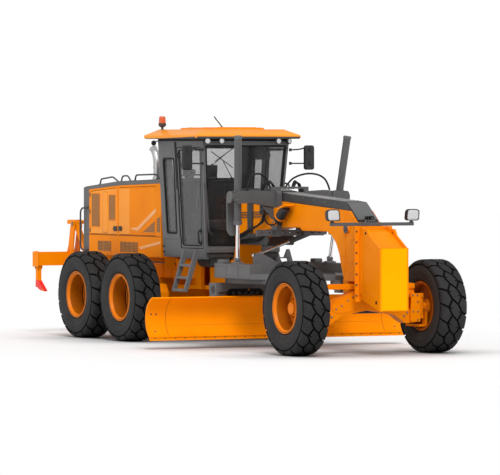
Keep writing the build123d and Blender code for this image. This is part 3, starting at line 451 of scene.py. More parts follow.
def dress(name, key, bevel=4.0, split=1.0, extra=()):
    """Keeps a CAD node's shape, rounds its edges and gives it its finish."""
    o = NODES[name]
    o.data.materials.clear()
    o.data.materials.append(M[key])
    if bevel:
        w = o.modifiers.new("weld", "WELD"); w.merge_threshold = 2e-5
        d = o.modifiers.new("flat", "DECIMATE"); d.decimate_type, d.angle_limit = "DISSOLVE", math.radians(split)
        md = o.modifiers.new("edges", "BEVEL")
        md.width, md.segments, md.limit_method, md.angle_limit = bevel / 1000, 2, "ANGLE", math.radians(34)
        md.use_clamp_overlap = True
        o.modifiers.new("shade", "WEIGHTED_NORMAL")
    return o


# ---- cords: the two hoses that arch from the frame to the lift cylinders -------------------
for side, s in SIDES:
    cu = bpy.data.curves.new("lift_hose_" + side, "CURVE")
    cu.dimensions = "3D"
    pts = [(3480, s * 120, 2347), (3520, s * 180, 2470), (3600, s * 300, 2550), (3690, s * 450, 2580),
           (3770, s * 590, 2540), (3815, s * 665, 2440), (3830, s * 690, 2327)]
    sp = cu.splines.new("NURBS")
    sp.points.add(len(pts) - 1)
    for q, p in zip(sp.points, pts):
        q.co = (*P(*p), 1)
    sp.order_u = 3
    sp.use_endpoint_u = True
    cu.resolution_u = 24
    cu.bevel_depth, cu.bevel_resolution = 0.014, 6
    cu.use_fill_caps = True
    cu.materials.append(M["hose"])
    o = bpy.data.objects.new("lift_hose_" + side, cu)
    bpy.context.scene.collection.objects.link(o)
    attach(o, "front_body")
    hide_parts("lift_hoses")
    tuple(P(*pts[0]))

# ---- tyres ------------------------------------------------------------------------------------
KNOTS = [(0, .674), (.10, .6735), (.150, .672), (.180, .664), (.200, .648), (.212, .615), (.219, .575)]
ARC = [0.0]
for a, c in zip(KNOTS, KNOTS[1:]):
    ARC.append(ARC[-1] + math.dist(a, c))


def crown(v):
    """Point and outward normal of the tyre's section at arc length v from its middle."""
    s, v = (1 if v >= 0 else -1), abs(v)
    i = max(k for k in range(len(ARC) - 1) if ARC[k] <= v + 1e-9) if v < ARC[-1] else len(ARC) - 2
    t = (v - ARC[i]) / (ARC[i + 1] - ARC[i])
    (y0, r0), (y1, r1) = KNOTS[i], KNOTS[i + 1]
    y, r = y0 + (y1 - y0) * t, r0 + (r1 - r0) * t
    def nrm(k):
        k = min(max(k, 0), len(KNOTS) - 2)
        d = Vector((KNOTS[k + 1][0] - KNOTS[k][0], KNOTS[k + 1][1] - KNOTS[k][1]))
        return Vector((-d.y, d.x)).normalized()
    here = nrm(i)
    other = nrm(i + 1) if t > 0.5 else nrm(i - 1)
    w = abs(t - 0.5)
    nn = (here * (1 - w) + other * w).normalized()
    return s * y, r, s * nn.x, nn.y


def depth(v):
    v = abs(v)
    return 0.032 if v <= 0.20 else max(0.016, 0.032 - 0.016 * (v - 0.20) / 0.062)


COUNT = 18
PITCH = 2 * math.pi * 0.674 / COUNT


def block_mesh():
    """One pitch of tread: two shoulder lugs and a six-sided middle lug with a slot from each side, as points (u, v, height share)."""
    g, c, p = 0.0140, 0.0035, PITCH
    off, o2, q, w = 0.34 * PITCH, 0.30 * PITCH, 0.046, 0.0080
    left = [(-0.5 * p - o2, -0.262), (0.5 * p - o2, -0.262), (0.5 * p, -0.110), (0, -0.045), (-0.5 * p, -0.110)]
    middle = [(0, -0.045), (0.5 * p, -0.110), (p, -0.045), (p + off, 0.045), (0.5 * p + off, 0.110), (off, 0.045)]
    right = [(-0.5 * p + off, 0.110), (off, 0.045), (0.5 * p + off, 0.110), (0.5 * p + off + o2, 0.262), (-0.5 * p + off + o2, 0.262)]
    cells = []
    for cell in (left, middle, right):
        cell = inset(cell, g)
        if len(cell) == 6:
            # the slots run in from the two outer corners
            (ax, ay), (bx, by) = cell[1], cell[4]
            d = Vector((bx - ax, by - ay)).normalized()
            e = Vector((-d.y, d.x))
            if e.x > 0:
                e = -e
            a0, b0 = Vector((ax, ay)), Vector((bx, by))
            k = 0.006
            cell = [cell[0], tuple(a0 + e * w + Vector((0, k))), tuple(a0 + e * w + d * q), tuple(a0 - e * w + d * q), tuple(a0 - e * w + Vector((0, k))),
                    cell[2], cell[3], tuple(b0 - e * w - Vector((0, k))), tuple(b0 - e * w - d * q), tuple(b0 + e * w - d * q), tuple(b0 + e * w - Vector((0, k))), cell[5]]
        cells.append(cell)
    bm = bmesh.new()
    for cell in cells:
        k = len(cell)
        rings = [(cell, 0.0), (cell, 0.86), (inset(cell, c) if k < 8 else cell, 1.0)]
        vs = [[bm.verts.new((q2[0], q2[1], h)) for q2 in pts] for pts, h in rings]
        for a, b2 in zip(vs, vs[1:]):
            for j in range(k):
                bm.faces.new([a[j], a[(j + 1) % k], b2[(j + 1) % k], b2[j]])
        bm.faces.new(vs[-1])
    for k in range(-6, 13):
        bmesh.ops.bisect_plane(bm, geom=bm.verts[:] + bm.edges[:] + bm.faces[:], plane_co=(k * PITCH / 6 + 1e-5, 0, 0), plane_no=(1, 0, 0))
    for v in (-0.24, -0.2068, -0.181, -0.15, -0.1, -0.05, 0, 0.05, 0.1, 0.15, 0.181, 0.2068, 0.24):
        bmesh.ops.bisect_plane(bm, geom=bm.verts[:] + bm.edges[:] + bm.faces[:], plane_co=(0, v + 1e-5, 0), plane_no=(0, 1, 0))
    bm.normal_update()
    return bm


def tyre(name, node, body, x, side, s):
    bm = block_mesh()
    verts = [tuple(v.co) for v in bm.verts]
    faces = [[v.index for v in f.verts] for f in bm.faces]
    low = [min(v.co.z for v in f.verts) < 0.85 for f in bm.faces]
    bm.free()
    out, fs = [], []
    centre = P(x, s * 1110, 674)
    for k in range(COUNT):
        base = len(out)
        for u, v, h in verts:
            y, r, ny, nr = crown(v)
            ang = (u * s + k * PITCH) / 0.674
            d = (h - 1) * (depth(v) + 0.002)
            y, r = y + ny * d, r + nr * d
            out.append(centre + Vector((math.sin(ang) * r, s * y, math.cos(ang) * r)))
        fs += [[base + i for i in f] for f in faces]
    tread = len(fs)
    # carcass under the lugs and down to the beads
    prof = []
    half = [i * 0.02 for i in range(14)]
    for v in half:
        y, r, ny, nr = crown(v)
        prof.append((y - ny * depth(v), r - nr * depth(v)))
    prof += [(0.2145, 0.588), (0.2195, 0.560), (0.2215, 0.556), (0.2225, 0.540), (0.2222, 0.512), (0.2242, 0.508), (0.2245, 0.497), (0.2225, 0.493),
             (0.2205, 0.465), (0.217, 0.440), (0.211, 0.418), (0.2135, 0.413), (0.2125, 0.405), (0.204, 0.399), (0.195, 0.385), (0.183, 0.372), (0.170, 0.364)]
    full = [(-y, r) for y, r in reversed(prof[1:])] + prof
    n = 120
    base = len(out)
    for i in range(n):
        a = 2 * math.pi * i / n
        for y, r in full:
            out.append(centre + Vector((math.sin(a) * r, s * y, math.cos(a) * r)))
    k = len(full)
    for i in range(n):
        a, b2 = base + i * k, base + ((i + 1) % n) * k
        for j in range(k - 1):
            fs.append([a + j, a + j + 1, b2 + j + 1, b2 + j])
    me = bpy.data.meshes.new(name)
    me.from_pydata(out, [], fs)
    bm = bmesh.new(); bm.from_mesh(me); bmesh.ops.recalc_face_normals(bm, faces=bm.faces); bm.to_mesh(me); bm.free()
    me.materials.append(M["tyre"]); me.materials.append(M["tyre_side"]); me.materials.append(M["tread_shade"])
    # lug walls and groove floors take the near-black rubber: painted shade in the tread
    for poly in me.polygons[:tread]:
        poly.material_index = 2 if low[poly.index % len(faces)] else 0
    for poly in me.polygons[tread:]:
        row = (poly.index - tread) % (k - 1)
        poly.material_index = 2 if 16 <= row < k - 17 else 1
    me.shade_smooth(); me.set_sharp_from_angle(angle=math.radians(28))
    o = bpy.data.objects.new(name, me)
    bpy.context.scene.collection.objects.link(o)
    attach(o, body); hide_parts(node)


RIM = [(-195, 341), (-195, 355), (-190, 362), (-182, 363), (-172, 356), (-170, 332), (-160, 326), (150, 318), (165, 326), (170, 334), (172, 356),
       (182, 363), (190, 362), (195, 357), (195, 350), (192, 347.5), (185, 346.5), (184, 340.5), (190, 338.5), (191, 334), (189, 329), (176, 325), (168, 318), (160, 316), (152, 314),
       (146, 308), (90, 303), (0, 300), (-150, 306), (-184, 318), (-188, 338)]
WHEELS = (("front", 6150, "front_wheel_", [(-77, 0), (-77, 150), (-75, 306), (-56, 306), (-52, 250), (-48, 176), (-20, 150), (20, 120), (52, 100), (60, 92), (84, 90), (93, 84), (96, 74), (96, 46), (92, 40), (92, 0)]),
          ("tandem_front", 770, "tandem_wheel_front_", None), ("tandem_rear", -770, "tandem_wheel_rear_", None))
REAR = [(-160, 0), (-160, 150), (-140, 205), (-100, 306), (-82, 306), (-98, 262), (-118, 214), (-126, 176), (-128, 150), (-114, 92), (-108, 80), (-108, 0)]
for wname, wx, bname, disc in WHEELS:
    for side, s in SIDES:
        body = bname + side
        tyre(f"tyre_{wname}_{side}", f"{wname}_tyre_{side}", body, wx, side, s)
        sh = Shape().mat("rim")
        mid = (wx, s * 1110, 674)
        sh.turn(mid, (0, s, 0), RIM[7:-3], 96, close=True)
        # the far flange and the barrel's inside take the darker rim copy: painted shade of the deep dish
        sh.mat("rim_shaded").turn(mid, (0, s, 0), RIM[:7] + [(-148, 325.6)] + RIM[-3:], 96, close=True)
        # near-black ring under the lip: painted shadow in the lock-ring groove
        sh.mat("rim_line").turn(mid, (0, s, 0), [(190.6, 336.5), (191.4, 341.0), (191.6, 347.0), (190.0, 348.6), (184, 347.5), (183, 337.0)], 96, close=True)
        sh.mat("rim").turn(mid, (0, s, 0), [(161, 315.6), (163.5, 316.8), (168.5, 320.5), (165, 322), (159, 318)], 96, close=True)
        sh.mat("rim_shaded").turn(mid, (0, s, 0), [(151, 312.6), (145.5, 307.2), (90, 302.2), (0, 299.2), (-55, 301.2), (-55, 303.0), (0, 300.8), (90, 303.8), (146, 309.0), (151, 314.4)], 96, close=True)
        sh.turn(mid, (0, s, 0), [(-148, 304.9), (-79, 302.3), (-79, 304.1), (-148, 306.8)], 96, close=True)
        if disc:
            sh.turn(mid, (0, s, 0), [(-76, 0), (-79.5, 0), (-79.5, 304), (-74, 304)], 72)
        # rear discs, their nuts and hub in the darker rim copy: painted shade of the deep dish
        sh.mat("rim" if disc else "rim_shaded").turn(mid, (0, s, 0), disc or REAR, 72)
        face, rr, cnt = (-50, 212, 10) if disc else (-119, 182, 12)
        for i in range(cnt):
            a = 2 * math.pi * (i + 0.5) / cnt
            q = (wx + math.sin(a) * rr, s * (1110 + face), 674 + math.cos(a) * rr)
            sh.mat("rim" if disc else "rim_shaded").hexa(q, (0, s, 0), 15, 22)
            sh.mat("bolt").rod((q[0], q[1] + s * 20, q[2]), (q[0], q[1] + s * 30, q[2]), 8, 10)
        if disc:
            sh.mat("rim")
            for i in range(6):
                a = 2 * math.pi * i / 6
                sh.hexa((wx + math.sin(a) * 58, s * (1110 + 93), 674 + math.cos(a) * 58), (0, s, 0), 7, 8)
        else:
            sh.mat("rim_shaded").turn((wx, s * (1110 - 108), 674), (0, s, 0), [(0, 70), (14, 66), (18, 40), (18, 0)], 40)
        # valve stem and the weld ring where the disc meets the barrel
        sh.mat("seal").rod((wx, s * (1110 + 150), 674 + 303), (wx, s * (1110 + 172), 674 + 290), 7, 10)
        sh.mat("rim").turn(mid, (0, s, 0), [((-56 if disc else -82) + 0, 306), ((-56 if disc else -82) + 9, 306), ((-56 if disc else -82) + 2, 297)], 72, close=True)
        o = sh.object(f"rim_{wname}_{side}", body, bevel=0, smooth=30, slot="rim_paint")
        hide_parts(f"{wname}_rim_{side}")

# ---- CAD nodes that keep their shape ---------------------------------------------------------------
# the cab roof and the rear hood doors take the paler orange copy: painted light
for nm, key, bv in (("front_frame", "orange", 5), ("frame_cover", "grey_dark", 5), ("front_counterweight", "orange", 5),
                    ("front_axle", "orange", 5), ("blade_saddle", "grey_mid", 4), ("drawbar_ball", "steel", 2), ("drawbar", "grey", 6),
                    ("blade_circle", "grey", 4), ("tilt_brackets", "grey", 3), ("moldboard", "blade", 2), ("cutting_edge", "blade", 2),
                    ("cab_frame", "grey", 5), ("cab_roof", "soft", 6), ("rear_frame", "orange", 4), ("tandem_cases", "orange", 10),
                    ("engine_block", "iron", 6), ("engine_hood", "orange", 4), ("hood_cowl", "grey", 6), ("ripper_lower_links", "orange", 4),
                    ("ripper_upper_links", "orange", 4), ("ripper_frame", "orange", 6), ("lean_bar", "orange", 4), ("tie_rod", "grey_dark", 3),
                    ("cab_steps", "grey", 3), ("ripper_barrel", "grey_mid", 3), ("ripper_rod", "chrome", 1.5), ("shift_barrel", "grey_mid", 3), ("shift_rod", "chrome", 1.5),
                    ("exhaust_stack", "stack", 0)):
    if nm in NODES:
        dress(nm, key, bv)
for side, s in SIDES:
    for nm, key, bv in (("lean_bracket_", "orange", 4), ("steering_knuckle_", "orange", 4), ("lift_barrel_", "grey_mid", 3), ("lift_rod_", "chrome", 1.5),
                        ("hood_door_rear_", "soft", 5), ("hood_door_front_", "orange", 5)):
        dress(nm + side, key, bv)
o = NODES["cab_glass"]
o.data.materials.clear(); o.data.materials.append(M["glass"])

# ---- cab ---------------------------------------------------------------------------------------------
LOW, HIGH = ((1100, 703), (1700, 693), (2342, 612)), ((1100, 806), (1700, 796), (2475, 733))


def cab_y(x, z):
    t = (z - 1300) / 1800
    c = [(a[0] + (b2[0] - a[0]) * t, a[1] + (b2[1] - a[1]) * t) for a, b2 in zip(LOW, HIGH)]
    (x0, y0), (x1, y1) = (c[0], c[1]) if x <= c[1][0] else (c[1], c[2])
    return y0 + (y1 - y0) * (x - x0) / (x1 - x0)


def cab_x(z):
    """Front face of the cab at height z."""
    return 2342 + 133 * (z - 1300) / 1800


def wall_plate(sh, s, outline, out, thick, hole=None):
    """Plate that follows the cab's side wall, from out down by thick, with an optional hole of as many points."""
    a = [(x, s * (cab_y(x, z) + out), z) for x, z in outline]
    b2 = [(x, s * (cab_y(x, z) + out - thick), z) for x, z in outline]
    if hole is None:
        return sh.loops([a, b2])
    c = [(x, s * (cab_y(x, z) + out), z) for x, z in hole]
    d = [(x, s * (cab_y(x, z) + out - thick), z) for x, z in hole]
    return sh.loops([a, c, d, b2], wrap=True)


def front_ring(sh, outline, hole, off, thick):
    """Ring on the cab's front face: outlines as (y, z)."""
    def q(p, o2):
        return (cab_x(p[1]) + o2, p[0], p[1])
    return sh.loops([[q(p, off) for p in outline], [q(p, off) for p in hole], [q(p, off - thick) for p in hole], [q(p, off - thick) for p in outline]], wrap=True)


QUARTER = [(1262, 1665), (1572, 1665), (1590, 2790), (1245, 2790)]
DOOR_EDGE = [(1713, 1447), (2293, 1447), (2398, 2953), (1713, 2953)]
DOOR_PANE = [(1742, 1478), (2268, 1478), (2370, 2922), (1742, 2922)]
SCREEN = [(-578, 1490), (578, 1490), (678, 2985), (-678, 2985)]
REAR_HOLE = [(-560, 2480), (560, 2480), (600, 2960), (-600, 2960)]

for side, s in SIDES:
    # quarter window's thick seal
    sh = Shape().mat("seal")
    ring = rounded(inset(QUARTER, -16), 46, 5)
    wall_plate(sh, s, ring, 8, 22, inset(ring, 30))
    sh.object(f"quarter_seal_{side}", "front_body", bevel=5, slot="hose_rubber")
    # door: pressed frame, seal, glass, handle, hinges
    sh = Shape().mat("grey")
    outer, inner = rounded(DOOR_EDGE, 30, 5), rounded(DOOR_PANE, 42, 5)
    wall_plate(sh, s, outer, 2, 42, inner)
    sh.mat("seal")
    wall_plate(sh, s, rounded(inset(DOOR_PANE, -4), 45, 5), 3.5, 10, inset(rounded(inset(DOOR_PANE, -4), 45, 5), 14))
    sh.mat("seal")
    wall_plate(sh, s, inset(outer, 3), -40, 8, inset(outer, 22))
    sh.mat("plastic")
    for zz in (1560, 2200, 2840):
        sh.rod((1718, s * (cab_y(1718, zz) + 9), zz - 38), (1718, s * (cab_y(1718, zz) + 9), zz + 38), 10, 16, chamfer=2)
        sh.box((1712, 1768), (s * (cab_y(1730, zz)), s * (cab_y(1730, zz) + 6)) if s > 0 else (s * (cab_y(1730, zz) + 6), s * cab_y(1730, zz)), (zz - 30, zz + 30))
    yy = lambda x, z, o2: s * (cab_y(x, z) + o2)
    sh.tube([(2226, yy(2226, 1520, -14), 1520), (2226, yy(2226, 1520, 34), 1530), (2234, yy(2234, 1700, 34), 1700), (2234, yy(2234, 1712, -14), 1712)], 14, 12, 24)
    for hz in (1520, 1712):
        sh.rod((2230, yy(2230, hz, -16), hz), (2230, yy(2230, hz, 6), hz), 24, 18, chamfer=3)
    sh.mat("grey")
    sh.tube([(2278, yy(2278, 1800, -42), 1800), (2278, yy(2278, 1800, -78), 1805), (2320, yy(2310, 2300, -78), 2300), (2320, yy(2310, 2305, -42), 2306)], 11, 12, 26)
    o = sh.object(f"door_frame_{side}", f"cab_door_{side}", bevel=4, slot="grey_paint")
    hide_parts(f"cab_door_{side}")
    sh = Shape().mat("glass")
    wall_plate(sh, s, rounded(DOOR_PANE, 44, 5), -18, 7)
    sh.object(f"door_pane_{side}", f"cab_door_{side}", bevel=0, slot="cab_glass")
    # pressed panel lines, sill, pillar covers
    sh = Shape().mat("grey")
    wall_plate(sh, s, rounded([(1118, 1330), (1690, 1330), (1690, 1600), (1118, 1600)], 22), 6, 8, inset(rounded([(1118, 1330), (1690, 1330), (1690, 1600), (1118, 1600)], 22), 26))
    wall_plate(sh, s, rounded([(1112, 1300), (2330, 1300), (2336, 1426), (1112, 1426)], 10), 5, 10)
    sh.mat("seal")
    wall_plate(sh, s, rounded(inset(DOOR_EDGE, -12), 34, 5), 1.5, 6, inset(rounded(inset(DOOR_EDGE, -12), 34, 5), 9))
    sh.mat("plastic")
    for zz in (1375, 1460):
        sh.hexa((1130, s * (cab_y(1130, zz) + 4), zz), (0, s, 0), 15, 18)
    sh.mat("seal")
    wall_plate(sh, s, [(1634, 2330), (1700, 2330), (1700, 3046), (1634, 3046)], 3, 6)
    wall_plate(sh, s, [(1668, 1440), (1702, 1440), (1702, 2340), (1668, 2340)], 3, 6)
    sh.mat("grey")
    wall_plate(sh, s, rounded([(1440, 2850), (1560, 2850), (1560, 2910), (1440, 2910)], 10), 4, 6)
    sh.object(f"cab_side_trim_{side}", "front_body", bevel=3, slot="grey_paint")
    # rear corner lamp
    sh = Shape().mat("plastic")
    sh.rod((1060, s * 850, 3029), (1035, s * 850, 3029), 40, 28, chamfer=6)
    sh.tube([(1090, s * 790, 3060), (1050, s * 840, 3050), (1048, s * 850, 3035)], 9, 10)
    sh.mat("lens").turn((1035, s * 850, 3029), (-1, 0, 0), [(0, 34), (5, 31), (8, 18), (9, 0)], 28)
    sh.object(f"rear_cab_lamp_{side}", "front_body", bevel=1.5)

# windscreen and rear window seals, wipers, screen trims
sh = Shape().mat("seal")
ring = rounded(inset(SCREEN, -10), 30, 5)
front_ring(sh, ring, inset(ring, 22), 6, 20)
sh.object("screen_seals", "front_body", bevel=4, slot="hose_rubber")
sh = Shape().mat("seal")
ring = rounded(inset(REAR_HOLE, -14), 36, 5)
hole = inset(ring, 28)
q = lambda p, o2: (1100 - o2, p[0], p[1])
sh.loops([[q(p, 7) for p in ring], [q(p, 7) for p in hole], [q(p, -15) for p in hole], [q(p, -15) for p in ring]], wrap=True)
sh.object("rear_screen_seal", "front_body", bevel=4, slot="hose_rubber")
sh = Shape().mat("plastic")
for (y0, z0), (y1, z1), (cy, cz) in (((-526, 2749), (-196, 2966), (-560, 2700)), ((-593, 2899), (-222, 2658), (-230, 2500))):
    sh.tube([(cab_x(z0) + 16, y0, z0), (cab_x(z1) + 16, y1, z1)], 7, 8)
    sh.tube([(cab_x((z0 + z1) / 2) + 26, (y0 + y1) / 2, (z0 + z1) / 2), (cab_x(cz) + 22, cy, cz), (cab_x(cz) - 4, cy, cz)], 6, 8)
    sh.rod((cab_x(cz) - 6, cy, cz), (cab_x(cz) + 18, cy, cz), 16, 18, chamfer=3)
sh.object("wipers", "front_body", bevel=1, slot="black_plastic")
# gutter, dark band under the roof, roof hatch lip, antenna
sh = Shape().mat("seal")
sh.prism("z", rounded([(1094, -808), (1700, -800), (2476, -738), (2476, 738), (1700, 800), (1094, 808)], 30), 3078, 44)
o = sh.object("roof_gutter", "front_body", bevel=4, slot="grey_paint")
sh = Shape().mat("grey_dark")
rim = rounded([(782, -883), (2558, -883), (2558, 883), (782, 883)], 60, 6)
sh.loops([[(x, y, 3099) for x, y in rim], [(x, y, 3099) for x, y in inset(rim, 60)], [(x, y, 3091) for x, y in inset(rim, 60)], [(x, y, 3091) for x, y in rim]], wrap=True)
# the lip folds up over the eave at the front and fades out towards the back
for s in (-1, 1):
    sh.loops([[(1500, s * 886.5, 3099), (1500, s * 886.5, 3101), (1500, s * 883, 3101), (1500, s * 883, 3099)],
              [(2520, s * 886.5, 3099), (2520, s * 886.5, 3122), (2520, s * 883, 3122), (2520, s * 883, 3099)],
              [(2550, s * 880.0, 3099), (2550, s * 880.0, 3124), (2546, s * 877, 3124), (2546, s * 877, 3099)]])
sh.loops([[(2561.5, y, 3099), (2561.5, y, 3124), (2556, y, 3124), (2556, y, 3099)] for y in (-874, 874)])
sh.object("roof_lip", "front_body", bevel=2)
sh = Shape().mat("orange")
sh.loops([[(x, y, 3232) for x, y in rounded([(1080, -440), (2270, -440), (2270, 440), (1080, 440)], 60)],
          [(x, y, 3252) for x, y in rounded([(1088, -432), (2262, -432), (2262, 432), (1088, 432)], 60)],
          [(x, y, 3262) for x, y in rounded([(1110, -410), (2240, -410), (2240, 410), (1110, 410)], 60)]])
for x in (1180, 1675, 2170):
    sh.prism("y", rounded([(x - 24, 3258), (x + 24, 3258), (x + 18, 3268), (x - 18, 3268)], 6, 2), 0, 640)
sh.object("roof_hatch", "front_body", bevel=2, slot="orange_paint")
sh = Shape().mat("plastic")
sh.turn((1670, 0, 3258), (0, 0, 1), [(0, 30), (8, 28), (20, 12), (26, 9)], 24)
sh.tube([(1670, 0, 3275), (1700, -60, 3330), (1735, -130, 3385), (1760, -175, 3430)], 9, 8, 40)
sh.object("antenna", "front_body", slot="black_plastic")

# lamps: bar, headlamps, roof lamps, beacon
sh = Shape().mat("grey_dark")
sh.mat("grey_mid").prism("x", rounded([(-672, 1838), (672, 1838), (672, 1886), (-672, 1886)], 8, 2), 6360, 54)
sh.mat("grey_dark")
for s in (-1, 1):
    sh.box((6340, 6380), (min(s * 80, s * 120), max(s * 80, s * 120)), (1836, 1850))
    for y in (90, 110):
        sh.mat("bolt").hexa((6360, s * y * 1.2, 1882), (0, 0, 1), 10, 9)
    sh.mat("grey_dark")
sh.object("lamp_bar", "front_body", bevel=3, slot="grey_paint")
for side, s in SIDES:
    sh = Shape().mat("plastic")
    out = rounded([(-110, -82), (100, -82), (110, 60), (70, 86), (-90, 86)] if s > 0 else [(-100, -82), (110, -82), (90, 86), (-70, 86), (-110, 60)], 42, 6)
    rows = []
    for x, k in ((6300, 0.55), (6316, 0.86), (6345, 0.97), (6392, 1.0), (6410, 0.985), (6410, 0.90), (6396, 0.86)):
        rows.append([(x, s * 645 + a * k, 1990 + c * k) for a, c in out])
    sh.loops(rows)
    sh.rod((6360, s * 645, 1878), (6360, s * 645, 1916), 16, 18, chamfer=2)
    sh.prism("x", rounded([(s * 645 - 34, 1882), (s * 645 + 34, 1882), (s * 645 + 24, 1900), (s * 645 - 24, 1900)], 5, 2), 6360, 30)
    sh.mat("lens")
    rows = []
    for x, k in ((6397, 0.86), (6408, 0.84), (6414, 0.74), (6417, 0.4)):
        rows.append([(x, s * 645 + a * k, 1990 + c * k) for a, c in out])
    sh.loops(rows)
    sh.object(f"headlamp_{side}", "front_body", bevel=0, smooth=40)
    sh = Shape()
    for x, y, z in ((2616, 483, 3056), (2570, 669, 3056)):
        d = Vector((1, 0, 0)) if y < 600 else Vector((0.9, s * 0.43, 0)).normalized()
        c = Vector((x - 62, s * y, z))
        sh.mat("plastic").turn(c, d, [(0, 24), (10, 40), (30, 46), (56, 49), (61, 47), (62, 39), (54, 38)], 32)
        sh.mat("lens").turn(c + d * 52, d, [(0, 39), (6, 36), (9, 20), (10, 0)], 28)
        sh.mat("bolt").turn(c + d * 58, d, [(0, 40), (4, 40), (4, 36), (0, 36)], 32, close=True)
        sh.mat("grey_dark").rod((c.x + 20, c.y, z + 30), (c.x + 20, c.y, z + 44), 9, 12)
    sh.object(f"roof_lamps_{side}", "front_body")
sh = Shape().mat("grey_dark")
sh.turn((960, -660, 3226), (0, 0, 1), [(0, 34), (10, 34), (14, 18), (40, 18), (66, 58), (104, 60), (104, 50)], 36)
sh.mat("beacon").turn((960, -660, 3326), (0, 0, 1), [(0, 52), (6, 54), (90, 50), (104, 46), (112, 34), (113, 0)], 36)
sh.object("beacon", "front_body", smooth=40)
for nm in ("lamp_bar",):
    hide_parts("work_lights")

# mirrors: rounded housings on two tubular arms
for side, s in SIDES:
    sh = Shape().mat("plastic")
    ob = rounded([(s * 950, 2622), (s * 1118, 2622), (s * 1118, 2994), (s * 950, 2994)], 44, 6)
    sh.loops([[(x, y, z) for y, z in inset(ob, k)] for x, k in ((2516, 12), (2518, 5), (2528, 0), (2556, 0), (2570, 8), (2580, 30))])
    sh.tube([(2548, s * 1034, 2900), (2548, s * 1034, 2945), (2548, s * 985, 2962), (2548, s * 860, 2930), (2479, s * 752, 2925)], 11, 12, 46)
    sh.tube([(2548, s * 1000, 2720), (2548, s * 860, 2720), (2479, s * 752, 2720)], 11, 12, 40)
    for z in (2720, 2925):
        sh.rod((2588, s * 1034, z - 22), (2588, s * 1034, z + 22), 17, 18, chamfer=4)
        sh.tube([(2546, s * 1000, z), (2586, s * 1020, z), (2590, s * 1040, z)], 9, 10, 18)
        sh.prism("z", rounded([(2468, s * 728), (2498, s * 728), (2498, s * 764), (2468, s * 764)], 6), z, 46)
    sh.mat("chrome").prism("x", inset(ob, 17), 2515.2, 3)
    o = sh.object(f"mirror_{side}", "front_body", bevel=1.5, slot="black_plastic")
    if s > 0:
        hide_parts("cab_mirrors")

# ---- operator's place -----------------------------------------------------------------------------------
def pad(name, cx, cy, cz, sx, sy, sz, tilt=0.0, channels=(), crown_h=0.012):
    """Padded cushion: a box whose faces are puffed, its sides pulled in between the corners, with sewn channels."""
    bm = bmesh.new()
    bmesh.ops.create_cube(bm, size=1.0)
    bmesh.ops.subdivide_edges(bm, edges=bm.edges[:], cuts=17, use_grid_fill=True)
    for v in bm.verts:
        x, y, z = v.co * 2
        puff = (1 - x * x) * (1 - y * y)
        side = (1 - z * z)
        k = 1 - 0.05 * (1 - side) * (abs(x) ** 6 + abs(y) ** 6)
        ex = (1 - y * y) * 0.02 * side
        ey = (1 - x * x) * 0.02 * side
        px = x * (sx / 2) * k - math.copysign(ex * sx * 0.4, x) * (abs(x) > 0.98)
        py = y * (sy / 2) * k - math.copysign(ey * sy * 0.4, y) * (abs(y) > 0.98)
        pz = z * sz / 2 + (puff * crown_h if z > 0 else -puff * crown_h * 0.2)
        rx = max(0, abs(x) - 0.86) / 0.14
        ry = max(0, abs(y) - 0.86) / 0.14
        pz -= z * sz * 0.14 * (min(1, math.hypot(rx, ry)) ** 2)
        if z > 0.4:
            for axis, at_, width, dp in channels:
                d = (x if axis == "x" else y) - at_
                pz -= dp * math.exp(-(d / width) ** 2) * (1 - abs(y if axis == "x" else x) ** 8)
        v.co = (px, py, pz)
    me = bpy.data.meshes.new(name)
    bm.to_mesh(me); bm.free()
    me.transform(Matrix.Translation(P(cx, cy, cz)) @ Matrix.Rotation(tilt, 4, "Y"))
    me.materials.append(M["cloth"])
    me.shade_smooth()
    o = bpy.data.objects.new(name, me)
    bpy.context.scene.collection.objects.link(o)
    o.modifiers.new("soft", "SUBSURF").levels = 1
    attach(o, "front_body")
    return o


pad("seat_cushion", 1510, 0, 1775, 0.49, 0.50, 0.13, -0.04, [("x", -0.3, 0.05, 0.008), ("x", 0.25, 0.05, 0.008), ("y", -0.66, 0.04, 0.010), ("y", 0.66, 0.04, 0.010)], 0.022)
pad("seat_back", 1290, 0, 2165, 0.60, 0.46, 0.11, -1.43, [("x", -0.45, 0.05, 0.007), ("x", 0.0, 0.05, 0.007), ("x", 0.45, 0.05, 0.007), ("y", -0.62, 0.04, 0.009), ("y", 0.62, 0.04, 0.009)], 0.020)
pad("head_rest", 1233, 0, 2600, 0.19, 0.28, 0.075, -1.48, [("x", 0.0, 0.08, 0.004)], 0.010)
for s in (-1, 1):
    pad(f"arm_pad_{'right' if s < 0 else 'left'}", 1560, s * 300, 2010, 0.30, 0.085, 0.05, 0.0, (), 0.006)
sh = Shape().mat("trim")
sh.prism("y", rounded([(1330, 1360), (1630, 1360), (1610, 1560), (1640, 1705), (1290, 1705), (1350, 1560)], 20), 0, 330)
for z in (1450, 1500, 1550, 1600, 1650):
    sh.prism("z", rounded([(1318, -178), (1640, -178), (1640, 178), (1318, 178)], 30), z, 20)
sh.prism("y", rounded([(1215, 1720), (1262, 1720), (1250, 2480), (1200, 2480)], 12), 0, 420)
for s in (-1, 1):
    sh.prism("y", rounded([(1280, 1720), (1420, 1720), (1440, 1960), (1720, 1970), (1724, 1990), (1420, 1992), (1300, 1960)], 14), s * 300, 50)
    sh.rod((1235, s * 50, 2470), (1228, s * 50, 2530), 8, 12)
    sh.prism("y", rounded([(1560, 1500), (1820, 1500), (1830, 1960), (1700, 1995), (1540, 1960)], 24), s * 395, 110)
sh.object("seat_base", "front_body", bevel=4, slot="black_plastic")
# joysticks, levers and armrest pods
sh = Shape().mat("plastic")
for s in (-1, 1):
    for i, x in enumerate((1680, 1740)):
        sh.turn((x, s * 395, 1985), (0.12, 0, 1), [(0, 34), (10, 30), (26, 16), (34, 9), (110, 8), (120, 18), (160, 22), (188, 18), (194, 8)], 20)
